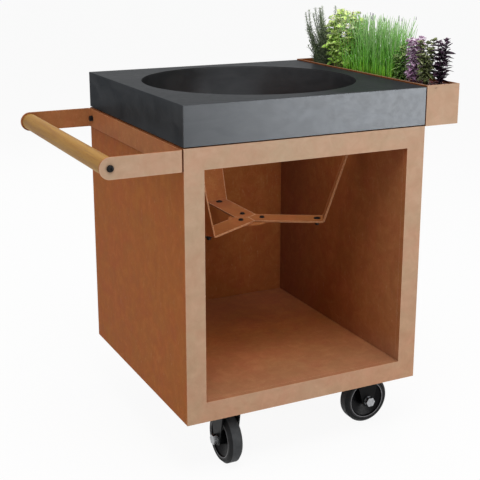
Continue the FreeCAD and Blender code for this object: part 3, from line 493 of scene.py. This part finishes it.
class Growth:
    """Collects closed leaves and stalks into one mesh, each point with a tint from 0 to 1."""

    def __init__(self, seed):
        self.rng = random.Random(seed)
        self.points = []
        self.faces = []
        self.tints = []

    def point(self, place, tint):
        self.points.append(place)
        self.tints.append(tint)
        return len(self.points) - 1

    def join_rings(self, rings, first, last):
        """Closed skin over rings of points, with a single point at each end."""
        count = len(rings[0])
        for i in range(count):
            k = (i + 1) % count
            self.faces.append((first, rings[0][k], rings[0][i]))
            for low, high in zip(rings, rings[1:]):
                self.faces.append((low[i], low[k], high[k], high[i]))
            self.faces.append((rings[-1][i], rings[-1][k], last))

    def leaf(self, base, along, length, width, bend=0.3, cup=0.2, tint=0.5, roll=0.0, stations=4):
        """Closed thin leaf from base along a direction: it droops by bend, folds up by cup and may roll.

        A leaf that would reach past the model's box is made shorter.
        """
        along = along.normalized()
        over = (base + along * length).x - LEAF_LIMIT_X
        if over > 0:
            length *= max(SHORTEST_LEAF, 1 - over / (along.x * length))
        over = LEAF_LIMIT_Y - (base + along * length).y
        if over > 0:
            length *= max(SHORTEST_LEAF, 1 - over / (-along.y * length))
        side = along.cross(Vector((0, 0, 1))).normalized()
        side.rotate(Quaternion(along, roll))
        up = side.cross(along).normalized()
        sag = Vector((0, 0, -length * bend))
        rings = []
        start = self.point(base, tint * 0.8)
        for i in range(1, stations + 1):
            t = i / (stations + 1)
            spread = (t / LEAF_WIDEST) ** 0.6 if t < LEAF_WIDEST else ((1 - t) / (1 - LEAF_WIDEST)) ** 0.6
            half = width / 2 * spread
            middle = base + along * (length * t) + sag * t * t
            rise = up * (half * cup * 2)
            shade = tint * (0.85 + 0.25 * t)
            rings.append([self.point(middle - side * half + rise, shade * 1.12),
                          self.point(middle - up * LEAF_HALF_THICK, shade * 0.75),
                          self.point(middle + side * half + rise, shade * 1.12),
                          self.point(middle + up * LEAF_HALF_THICK, shade * 0.85)])
        end = self.point(base + along * length + sag, tint)
        self.join_rings(rings, start, end)

    def stalk(self, line, start_radius, end_radius, tint=0.5, sides=5, climb=0.0):
        """Closed tapering tube along a line of points; the tint grows by climb to its tip."""
        rings = []
        for i, place in enumerate(line):
            ahead = line[min(i + 1, len(line) - 1)] - line[max(i - 1, 0)]
            side = ahead.cross(Vector((0.31, 0.95, 0.05))).normalized()
            other = ahead.cross(side).normalized()
            radius = start_radius + (end_radius - start_radius) * i / (len(line) - 1)
            ring = []
            for j in range(sides):
                angle = 2 * math.pi * j / sides
                offset = side * math.cos(angle) + other * math.sin(angle)
                ring.append(self.point(place + offset * radius, tint + climb * i / (len(line) - 1)))
            rings.append(ring)
        first = self.point(line[0] - (line[1] - line[0]) * 0.02, tint)
        last = self.point(line[-1] + (line[-1] - line[-2]) * 0.15, tint + climb)
        self.join_rings(rings, first, last)

    def build(self, name, material):
        mesh = bpy.data.meshes.new(name)
        mesh.from_pydata([tuple(p) for p in self.points], [], self.faces)
        attribute = mesh.attributes.new("tint", "FLOAT", "POINT")
        attribute.data.foreach_set("value", [min(1.0, max(0.0, t)) for t in self.tints])
        mesh.materials.append(material)
        mesh.polygons.foreach_set("use_smooth", [True] * len(mesh.polygons))
        mesh.update()
        piece = bpy.data.objects.new(name, mesh)
        bpy.context.scene.collection.objects.link(piece)
        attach(piece, "table")
        return piece


def curve_line(base, lean, height, steps, sway, turn):
    """Points of a stem that rises from base and leans over; lean is its sideways reach at the top."""
    line = []
    for i in range(steps + 1):
        t = i / steps
        wave = Vector((math.sin(turn + 4 * t), math.cos(turn + 4 * t), 0)) * sway * t
        line.append(base + Vector((lean.x, lean.y, 0)) * t ** 1.6 + wave + Vector((0, 0, height * t)))
    return line


def along_line(line, t):
    """The point at a share t of a line of evenly spaced points."""
    steps = len(line) - 1
    k = min(int(t * steps), steps - 1)
    return line[k].lerp(line[k + 1], t * steps - k)


# Screws with a domed head and a hexagon socket, in place of the plain ones that show

SOCKET_SHARE = 0.42
SOCKET_DEPTH = 0.55
HEAD_STEPS = 5
SCREW_SIDES = 30
ARM_ANGLES = (90, 210, 330)
ARM_THICKNESS = 0.004
BAR_SHANK_RADIUS = 0.004
BAR_SHANK_LENGTH = 0.049
REST_HEAD_RADIUS = 0.009
REST_SHANK_RADIUS = 0.005


def screw_rings(head_radius, head_height, shank_radius, length):
    """Rings of a screw from its end to the bottom of its socket: radius, height, whether hexagonal."""
    socket = head_radius * SOCKET_SHARE
    rings = [(shank_radius, -length, False), (shank_radius, 0.0, False), (head_radius, 0.0, False)]
    for i in range(HEAD_STEPS + 1):
        angle = math.pi / 2 * i / HEAD_STEPS
        inset = (head_radius - socket * 1.25) * (1 - math.cos(angle))
        rings.append((head_radius - inset, head_height * (0.25 + 0.75 * math.sin(angle)), False))
    for height in (head_height, head_height * (1 - SOCKET_DEPTH)):
        rings.append((socket, height, True))
    return rings


def socket_screw(mesh, seat, axis, *sizes):
    """Adds one closed screw: its head rises from the seat along the axis, its shank runs the other way."""
    turn = Vector((0, 0, 1)).rotation_difference(axis)
    made = []
    for radius, height, hexagon in screw_rings(*sizes):
        points = []
        for i in range(SCREW_SIDES):
            angle = 2 * math.pi * i / SCREW_SIDES
            flat = (angle + math.pi / 6) % (math.pi / 3) - math.pi / 6
            reach = radius / math.cos(flat) if hexagon else radius
            place = Vector((reach * math.cos(angle), reach * math.sin(angle), height))
            place.rotate(turn)
            points.append(mesh.verts.new(seat + place))
        made.append(points)
    mesh.faces.new(made[0][::-1])
    for low, high in zip(made, made[1:]):
        for i in range(SCREW_SIDES):
            k = (i + 1) % SCREW_SIDES
            mesh.faces.new((low[i], low[k], high[k], high[i]))
    mesh.faces.new(made[-1])


def screws(name, node, seats, axes, sizes, material):
    """One piece with a screw at each seat; sizes are head radius, head height, shank radius and length."""
    mesh = bmesh.new()
    for seat, axis in zip(seats, axes):
        socket_screw(mesh, seat, axis, *sizes)
    data = bpy.data.meshes.new(name)
    mesh.to_mesh(data)
    mesh.free()
    data.materials.append(material)
    data.polygons.foreach_set("use_smooth", [True] * len(data.polygons))
    data.set_sharp_from_angle(angle=math.radians(35))
    piece = bpy.data.objects.new(name, data)
    bpy.context.scene.collection.objects.link(piece)
    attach(piece, "table")
    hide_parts(node)


def on_arms(node, head_radius, level):
    """Three places on the cradle's arms, at the radius where the node's rearmost head stands."""
    low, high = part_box(node)
    centre_x = (low.x + high.x) / 2
    radius = high.y - head_radius
    places = []
    for angle in ARM_ANGLES:
        turn = math.radians(angle)
        places.append(Vector((centre_x + radius * math.cos(turn), radius * math.sin(turn), level)))
    return places


def visible_screws():
    """The screws of the handle's bar and of the cradle's rests."""
    finish = black_metal("screw_black", 0.004, 0.22)
    low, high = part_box("handle_bar_bolts")
    arm_low, arm_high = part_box("handle_bracket")
    middle = (low + high) / 2
    seats = [Vector((middle.x, arm_low.y, middle.z)), Vector((middle.x, arm_high.y, middle.z))]
    outward = (Vector((0, -1, 0)), Vector((0, 1, 0)))
    sizes = ((high.x - low.x) / 2, arm_low.y - low.y, BAR_SHANK_RADIUS, BAR_SHANK_LENGTH)
    screws("handle_bar_screws", "handle_bar_bolts", seats, outward, sizes, finish)
    low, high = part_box("cradle_rest_bolts")
    arm_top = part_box("cradle_hub_plate")[1].z + ARM_THICKNESS
    seats = on_arms("cradle_rest_bolts", REST_HEAD_RADIUS, arm_top)
    sizes = (REST_HEAD_RADIUS, high.z - arm_top, REST_SHANK_RADIUS, arm_top - low.z)
    upward = (Vector((0, 0, 1)),) * len(seats)
    screws("cradle_rest_screws", "cradle_rest_bolts", seats, upward, sizes, finish)


# Planter: soil and herbs

soil_low, soil_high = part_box("planter_soil")
SOIL_TOP = soil_high.z
PLANTER_X = (soil_low.x + soil_high.x) / 2
SOIL_SINK = 0.0035
SOIL_EDGE_DROP = 0.003
SOIL_CRUMB = 0.0016
SOIL_SWELL = 0.0025
SOIL_RIPPLE = 0.0016
SOIL_STEPS_IN = 4


def soil_bed():
    """Crumbly bed with a hollowed, uneven top, closed below."""
    rng = random.Random(7)
    across, along = 22, 150
    points = []
    faces = []
    for j in range(along + 1):
        for i in range(across + 1):
            x = soil_low.x + (soil_high.x - soil_low.x) * i / across
            y = soil_low.y + (soil_high.y - soil_low.y) * j / along
            inward = min(i, across - i, j * 1.5, (along - j) * 1.5) / SOIL_STEPS_IN
            swell = SOIL_SWELL * math.sin(31 * y + 2) * math.cos(57 * x) + SOIL_RIPPLE * math.sin(83 * y)
            crumb = rng.uniform(-SOIL_CRUMB, SOIL_CRUMB)
            drop = SOIL_EDGE_DROP if inward < 0.3 else 0.0
            points.append((x, y, SOIL_TOP - SOIL_SINK + (swell + crumb) * min(1.0, inward) - drop))
    row = across + 1
    for j in range(along):
        for i in range(across):
            a = j * row + i
            faces.append((a, a + 1, a + 1 + row, a + row))
    rim = list(range(row)) + [j * row + across for j in range(1, along + 1)]
    rim += [along * row + i for i in range(across - 1, -1, -1)] + [j * row for j in range(along - 1, 0, -1)]
    foot = len(points)
    points += [(points[i][0], points[i][1], soil_low.z) for i in rim]
    for k in range(len(rim)):
        n = (k + 1) % len(rim)
        faces.append((rim[n], rim[k], foot + k, foot + n))
    faces.append(tuple(range(foot + len(rim) - 1, foot - 1, -1)))
    mesh = bpy.data.meshes.new("soil_bed")
    mesh.from_pydata(points, [], faces)
    mesh.materials.append(potting_soil())
    mesh.update()
    piece = bpy.data.objects.new("soil_bed", mesh)
    bpy.context.scene.collection.objects.link(piece)
    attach(piece, "table")
    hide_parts("planter_soil")


def at(x_offset, front_offset, rise=-0.004):
    """A place by its offset from the planter's middle line, its distance behind the front and its rise."""
    return Vector((PLANTER_X + x_offset, FRONT_Y + front_offset, SOIL_TOP + rise))


def whorls(growth, line, size, broad, tint, turn, first=0.08, pitch=0.010, droop=(0.2, 0.7), fade=0.25):
    """Leaves in fours up a stem, smaller and paler towards the top, with a tuft at the tip."""
    rng = growth.rng
    height = (line[-1] - line[0]).length
    levels = max(3, int(height * (1 - first) / pitch))
    for level in range(levels):
        t = first + (1 - first) * level / levels
        for j in range(4):
            angle = turn + level * 0.8 + j * math.pi / 2 + rng.uniform(-0.35, 0.35)
            out = Vector((math.cos(angle), math.sin(angle), rng.uniform(0.0, 0.9)))
            grown = size * (1.1 - 0.45 * t) * rng.uniform(0.7, 1.15) * (1.0 if j % 2 else 0.8)
            shade = (tint + fade * (t - 0.5)) * rng.uniform(0.5, 1.5)
            growth.leaf(along_line(line, t), out, grown, grown * broad * rng.uniform(0.85, 1.15),
                        bend=rng.uniform(*droop), cup=rng.uniform(0.05, 0.25), tint=shade,
                        roll=rng.uniform(-0.7, 0.7))
    for j in range(8):
        angle = j * 0.8 + turn
        out = Vector((math.cos(angle), math.sin(angle), rng.uniform(0.3, 1.6)))
        grown = size * rng.uniform(0.4, 0.65)
        growth.leaf(line[-1] - Vector((0, 0, 0.003)), out, grown, grown * broad, bend=0.2, cup=0.2,
                    tint=(tint + fade / 2) * rng.uniform(0.7, 1.5), roll=rng.uniform(-0.7, 0.7))


def bush(growth, base, height, stems, spread, size, broad, tint=0.5, even=0.68, **leaves):
    """Several leafy stems that lean apart by spread in x and y; the lowest is even times the height."""
    rng = growth.rng
    for stem in range(stems):
        turn = 2 * math.pi * (stem + rng.uniform(-0.25, 0.25)) / stems
        lean = Vector((math.cos(turn) * spread[0], math.sin(turn) * spread[1], 0)) * rng.uniform(0.5, 1.1)
        rise = height * (1.0 if stem == 0 else rng.uniform(even, 0.98)) - size * 0.3
        line = curve_line(base + lean * 0.3, lean * 0.8, rise, 10, sway=0.0015, turn=turn)
        growth.stalk(line, 0.0015, 0.0008, tint * 0.6)
        whorls(growth, line, size, broad, tint, turn, **leaves)


def plant(name, growth, material, node=None):
    """Turns a growth into a piece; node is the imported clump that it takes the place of, if any."""
    piece = growth.build(name, material)
    if node:
        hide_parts(node)


def plant_basils():
    """Front end of the planter: deep purple, olive, violet and dark green plants over low plum leaves."""
    deep = (srgb(14, 8, 14), srgb(36, 20, 34), srgb(66, 40, 60), srgb(128, 92, 122))
    violet = (srgb(70, 46, 68), srgb(144, 108, 138), srgb(198, 164, 192), srgb(234, 214, 232))
    olive = (srgb(30, 34, 16), srgb(74, 84, 42), srgb(130, 138, 92), srgb(214, 216, 186))
    green = (srgb(50, 40, 26), srgb(88, 122, 58), srgb(144, 178, 98), srgb(196, 206, 144))
    plum = (srgb(52, 18, 22), srgb(104, 48, 52), srgb(146, 86, 88), srgb(186, 136, 142))

    growth = Growth(11)
    base = at(0.016, 0.034)
    bush(growth, base, height=0.120, stems=5, spread=(0.012, 0.014), size=0.027, broad=0.5, tint=0.4,
         pitch=0.011, droop=(0.0, 0.3), first=0.18)
    for j in range(16):
        angle = growth.rng.uniform(-0.9, 0.9) + (0.0 if j % 2 else math.pi)
        out = Vector((math.cos(angle), math.sin(angle), growth.rng.uniform(-0.1, 0.25)))
        joint = base + Vector((0, 0, 0.028 + 0.005 * j))
        growth.leaf(joint, out, 0.034, 0.011, bend=0.12, cup=0.2, tint=growth.rng.uniform(0.15, 0.5),
                    roll=growth.rng.uniform(-0.9, 0.9))
    leaves = foliage("leaf_deep_purple", deep, 0.36)
    plant("basil_deep_purple", growth, leaves, "herb_purple_basil")
    growth = Growth(12)
    bush(growth, at(-0.008, 0.060), height=0.119, stems=9, spread=(0.019, 0.017), size=0.025, broad=0.66,
         first=0.26)
    plant("basil_olive", growth, foliage("leaf_olive", olive, 0.4))
    growth = Growth(13)
    bush(growth, at(-0.010, 0.104), height=0.121, stems=9, spread=(0.016, 0.014), size=0.025, broad=0.7,
         tint=0.56, pitch=0.0105, fade=0.4, first=0.2, even=0.84)
    plant("basil_violet", growth, foliage("leaf_violet", violet))
    growth = Growth(14)
    bush(growth, at(-0.014, 0.154), height=0.100, stems=8, spread=(0.017, 0.019), size=0.022, broad=0.66,
         pitch=0.0095)
    plant("basil_green", growth, foliage("leaf_dark_green", green), "herb_green_basil")

    growth = Growth(15)
    rng = growth.rng
    for tuft in range(170):
        base = at(rng.uniform(-0.038, 0.038), rng.uniform(0.008, 0.185))
        for j in range(5):
            angle = j * 1.26 + rng.uniform(-0.4, 0.4)
            out = Vector((math.cos(angle), math.sin(angle), rng.uniform(0.4, 1.6)))
            grown = rng.uniform(0.008, 0.019)
            growth.leaf(base, out, grown, grown * 0.72, bend=0.3, cup=0.15, tint=rng.uniform(0.1, 0.85),
                        roll=rng.uniform(-0.8, 0.8), stations=3)
    plant("ground_leaves", growth, foliage("leaf_plum", plum))


def plant_chives():
    """Dense tuft of thin upright blades, bright at the foot and grey at the tips, some with dark buds."""
    growth = Growth(21)
    buds = Growth(22)
    rng = growth.rng
    for blade in range(640):
        y = rng.uniform(0.172, 0.392)
        x = max(-0.034, min(0.034, rng.gauss(-0.004, 0.017)))
        height = rng.uniform(0.108, 0.158) if rng.random() < 0.7 else rng.uniform(0.050, 0.110)
        lean = Vector((rng.gauss(0, 0.011) + x * 0.2, rng.gauss(0, 0.018) + (y - 0.27) * 0.1, 0))
        if abs(x + lean.x) > 0.042:
            lean.x *= 0.3
        line = curve_line(at(x, y), lean, height, 6, sway=0.002, turn=rng.uniform(0, 6))
        growth.stalk(line, rng.uniform(0.0010, 0.0016), 0.0005, tint=rng.uniform(0.0, 0.35), sides=4,
                     climb=0.72)
        if height > 0.145 and blade % 5 == 0:
            bud = [line[-1] + Vector((0, 0, rise)) for rise in (0.0, 0.003, 0.007)]
            buds.stalk(bud, 0.0009, 0.0006, tint=0.4)
    # The foot stop is a paler green, lighter still as painted light where the tuft shades itself.
    shades = (srgb(184, 222, 82), srgb(138, 202, 64), srgb(114, 182, 70), srgb(150, 198, 116),
              srgb(186, 206, 172))
    blades = foliage("leaf_chive", shades, 0.42, blot=(420.0, 420.0, 14.0))
    plant("chives", growth, blades, "herb_chives")
    shades = (srgb(44, 40, 52), srgb(84, 72, 96), srgb(130, 118, 138))
    plant("chive_buds", buds, foliage("chive_bud", shades))


DAISIES = (((-0.016, 0.390), (-0.047, 0.356, 0.122)), ((-0.020, 0.404), (-0.048, 0.374, 0.098)),
           ((-0.014, 0.420), (-0.042, 0.440, 0.136)), ((0.016, 0.410), (-0.004, 0.398, 0.152)))
PARSLEY_HEIGHT = 0.15
PARSLEY_STEPS = 7


def plant_parsley():
    """Bright leafy herb: fanned stalks with three-lobed leaves, and a few small daisies."""
    growth = Growth(31)
    petals = Growth(32)
    hearts = Growth(33)
    rng = growth.rng
    for stem in range(104):
        angle = rng.uniform(0, 2 * math.pi)
        reach = rng.uniform(0.0, 1.0) ** 0.7
        start = at(rng.uniform(-0.016, 0.014), 0.430 + rng.uniform(-0.046, 0.048))
        lean = Vector((math.cos(angle) * 0.021 * reach, math.sin(angle) * 0.034 * reach, 0))
        height = rng.uniform(0.060, 0.148) * (1.08 - 0.25 * reach)
        line = curve_line(start, lean, height, PARSLEY_STEPS, sway=0.002, turn=angle)
        growth.stalk(line, 0.0011, 0.0007, sides=4)
        for k in range(2, PARSLEY_STEPS + 1):
            count, apart = (4, 1.57) if k == PARSLEY_STEPS else (2, 3.14)
            for j in range(count):
                turn = angle + j * apart + k * 1.3 + rng.uniform(-0.4, 0.4)
                out = Vector((math.cos(turn), math.sin(turn), rng.uniform(-0.1, 0.9)))
                end = line[k] + out.normalized() * 0.006
                growth.stalk([line[k], line[k].lerp(end, 0.5), end], 0.0006, 0.0005, sides=3)
                # Painted light: a leaf is lighter the higher it stands above the soil, as if lit from above.
                shade = rng.uniform(0.5, 1.1) * (0.25 + 0.95 * (end.z - SOIL_TOP) / PARSLEY_HEIGHT)
                roll = rng.uniform(-0.8, 0.8)
                for lobe in (-0.85, 0.0, 0.85):
                    way = Matrix.Rotation(lobe, 3, "Z") @ out
                    grown = rng.uniform(0.0125, 0.0195) * (1.15 if lobe == 0.0 else 0.9)
                    growth.leaf(end, way, grown, grown * 0.8, bend=rng.uniform(0.1, 0.7),
                                cup=rng.uniform(0.02, 0.2), tint=shade, roll=roll, stations=3)
    for foot, top in DAISIES:
        start, flower = at(*foot), at(*top)
        line = []
        for step in range(7):
            t = step / 6
            line.append(start.lerp(flower, t) + Vector((0, 0, 0.01 * math.sin(math.pi * t))))
        growth.stalk(line, 0.0008, 0.0006, sides=4)
        daisy(petals, hearts, flower)
    bright = (srgb(94, 138, 48), srgb(162, 208, 86), srgb(214, 243, 140), srgb(242, 254, 202))
    plant("parsley", growth, foliage("leaf_bright", bright, 0.45), "herb_parsley")
    white = (srgb(206, 210, 190), srgb(238, 238, 230), srgb(250, 250, 246))
    plant("daisy_petals", petals, foliage("petal_white", white, light_through=0.0))
    yellow = (srgb(150, 160, 30), srgb(214, 214, 70))
    plant("daisy_hearts", hearts, foliage("heart_yellow", yellow, light_through=0.0))


def daisy(petals, hearts, middle):
    """Flat white flower with a raised yellow middle, tipped a little to the front left."""
    facing = Vector((-0.4, -0.75, 0.5)).normalized()
    across = facing.orthogonal().normalized()
    for f in range(9):
        way = across.copy()
        way.rotate(Quaternion(facing, 2 * math.pi * f / 9))
        petals.leaf(middle, way + facing * 0.15, 0.0092, 0.0050, bend=0.05, cup=0.05, tint=0.9, stations=3)
    dome = [middle - facing * 0.0004, middle + facing * 0.0010, middle + facing * 0.0020]
    hearts.stalk(dome, 0.0024, 0.0012, tint=0.8, sides=8)


def plant_rosemary():
    """Woody sprigs that splay from a dense base, with narrow needles all round."""
    growth = Growth(41)
    rng = growth.rng
    for sprig in range(74):
        angle = rng.uniform(0, 2 * math.pi)
        reach = rng.uniform(0, 1) ** 0.6
        start = at(rng.uniform(-0.018, 0.018), 0.545 + rng.uniform(-0.042, 0.042))
        lean = Vector((math.cos(angle) * 0.036 * reach - 0.004, math.sin(angle) * 0.040 * reach, 0))
        tall = sprig % 6 == 0
        height = rng.uniform(0.132, 0.168) if tall else rng.uniform(0.070, 0.132) * (1.05 - 0.3 * reach)
        line = curve_line(start, lean, height, 12, sway=0.006, turn=angle)
        growth.stalk(line, 0.0014, 0.0007, tint=0.3, sides=4)
        needles = int(height / 0.0016)
        for n in range(needles):
            t = 0.06 + 0.94 * n / needles
            turn = n * 2.4 + rng.uniform(-0.3, 0.3)
            out = Vector((math.cos(turn), math.sin(turn), rng.uniform(0.3, 1.3)))
            grown = rng.uniform(0.012, 0.020) * ((1.1 - 0.65 * t) if tall else (1.1 - 0.35 * t))
            growth.leaf(along_line(line, t), out, grown, 0.0028, bend=rng.uniform(-0.1, 0.3), cup=0.1,
                        tint=rng.uniform(0.1, 0.6) + 0.4 * t * rng.random(), stations=2)
    shades = (srgb(56, 64, 50), srgb(96, 110, 82), srgb(136, 152, 112), srgb(192, 206, 164))
    plant("rosemary", growth, foliage("leaf_rosemary", shades), "herb_rosemary")


# Studio

AMBIENT = 0.37
FLOOR_GLOW = 0.93
FLOOR_GREY = 0.86
FLOOR_HALF = 40.0
FLOOR_GAP = 0.0005
TABLE_MIDDLE = (0.05, 0.0, 0.5)
LENS = 75.7
SHIFT = -0.06
EYE = (-1.0898, -2.2439, 1.2139)
YAW = math.radians(26.353)
PITCH = math.radians(15.026)


def backdrop_rays(tree):
    """1 for the rays that see the white backdrop: straight ones, reflected ones and ones through glass."""
    rays = tree.nodes.new("ShaderNodeLightPath")
    seen = rays.outputs["Is Camera Ray"]
    for name in ("Is Glossy Ray", "Is Transmission Ray"):
        join = tree.nodes.new("ShaderNodeMath")
        join.operation = "MAXIMUM"
        tree.links.new(seen, join.inputs[0])
        tree.links.new(rays.outputs[name], join.inputs[1])
        seen = join.outputs[0]
    return seen


def studio():
    """White backdrop that lights the table less than it shows."""
    scene = bpy.context.scene
    scene.view_settings.view_transform = "Standard"
    world = bpy.data.worlds.new("studio")
    scene.world = world
    world.use_nodes = True
    tree = world.node_tree
    level = tree.nodes.new("ShaderNodeMapRange")
    level.inputs["To Min"].default_value = AMBIENT
    level.inputs["To Max"].default_value = 1.0
    tree.links.new(backdrop_rays(tree), level.inputs["Value"])
    back = tree.nodes["Background"]
    back.inputs["Color"].default_value = (1, 1, 1, 1)
    tree.links.new(level.outputs["Result"], back.inputs["Strength"])


def floor():
    """Pale matt floor that glows white for straight and reflected views, and keeps some of the shadow."""
    half = FLOOR_HALF
    mesh = bpy.data.meshes.new("floor")
    corners = [(-half, -half, 0), (half, -half, 0), (half, half, 0), (-half, half, 0)]
    mesh.from_pydata(corners, [], [(0, 1, 2, 3)])
    material = bpy.data.materials.new("pale_floor")
    material.use_nodes = True
    tree = material.node_tree
    tree.nodes.clear()
    out = tree.nodes.new("ShaderNodeOutputMaterial")
    matt = tree.nodes.new("ShaderNodeBsdfDiffuse")
    matt.inputs["Color"].default_value = (FLOOR_GREY, FLOOR_GREY, FLOOR_GREY, 1)
    glow = tree.nodes.new("ShaderNodeEmission")
    glow.inputs["Color"].default_value = (1, 1, 1, 1)
    blend = tree.nodes.new("ShaderNodeMixShader")
    share = tree.nodes.new("ShaderNodeMath")
    share.operation = "MULTIPLY"
    share.inputs[1].default_value = FLOOR_GLOW
    tree.links.new(backdrop_rays(tree), share.inputs[0])
    tree.links.new(share.outputs[0], blend.inputs["Fac"])
    tree.links.new(matt.outputs[0], blend.inputs[1])
    tree.links.new(glow.outputs[0], blend.inputs[2])
    tree.links.new(blend.outputs[0], out.inputs["Surface"])
    mesh.materials.append(material)
    ground = bpy.data.objects.new("floor", mesh)
    bpy.context.scene.collection.objects.link(ground)
    ground.location.z = -FLOOR_GAP


def softbox(name, place, target, width, height, radiance, glossy=True):
    """White rectangular lamp of a given brightness, not seen by the camera, nor by gloss unless glossy."""
    data = bpy.data.lights.new(name, "AREA")
    data.shape = "RECTANGLE"
    data.size = width
    data.size_y = height
    data.energy = radiance * math.pi * width * height
    lamp = bpy.data.objects.new(name, data)
    bpy.context.scene.collection.objects.link(lamp)
    lamp.location = place
    lamp.rotation_mode = "QUATERNION"
    lamp.rotation_quaternion = (Vector(target) - Vector(place)).to_track_quat("-Z", "Y")
    lamp.visible_camera = False
    lamp.visible_glossy = glossy


def lamps():
    """Two lamps give the gloss of the worktop; the others only fill, from the left, above and behind."""
    softbox("key_box", (2.15, -2.75, 0.44), (0.2, -0.2, 0.44), width=1.8, height=0.8, radiance=9.6)
    softbox("front_box", (-0.4, -1.5, 3.0), (0.0, -0.2, 0.4), width=1.6, height=1.0, radiance=6.4)
    softbox("left_box", (-3.2, -0.6, 1.7), TABLE_MIDDLE, width=1.8, height=1.6, radiance=1.9, glossy=False)
    softbox("top_box", (0.2, -0.2, 3.4), TABLE_MIDDLE, width=2.0, height=2.0, radiance=3.0, glossy=False)
    softbox("back_box", (0.7, 3.2, 1.9), TABLE_MIDDLE, width=2.2, height=1.4, radiance=2.0, glossy=False)


def camera():
    """The camera stands in front of the table's left corner and looks down on it a little."""
    data = bpy.data.cameras.new("camera")
    data.lens = LENS
    data.sensor_width = 36.0
    data.shift_y = SHIFT
    eye = bpy.data.objects.new("camera", data)
    bpy.context.scene.collection.objects.link(eye)
    ahead = Vector((math.sin(YAW) * math.cos(PITCH), math.cos(YAW) * math.cos(PITCH), -math.sin(PITCH)))
    eye.location = EYE
    eye.rotation_mode = "QUATERNION"
    eye.rotation_quaternion = ahead.to_track_quat("-Z", "Y")
    bpy.context.scene.camera = eye


studio()
floor()
lamps()
camera()
dress_all()
visible_screws()
soil_bed()
plant_basils()
plant_chives()
plant_parsley()
plant_rosemary()
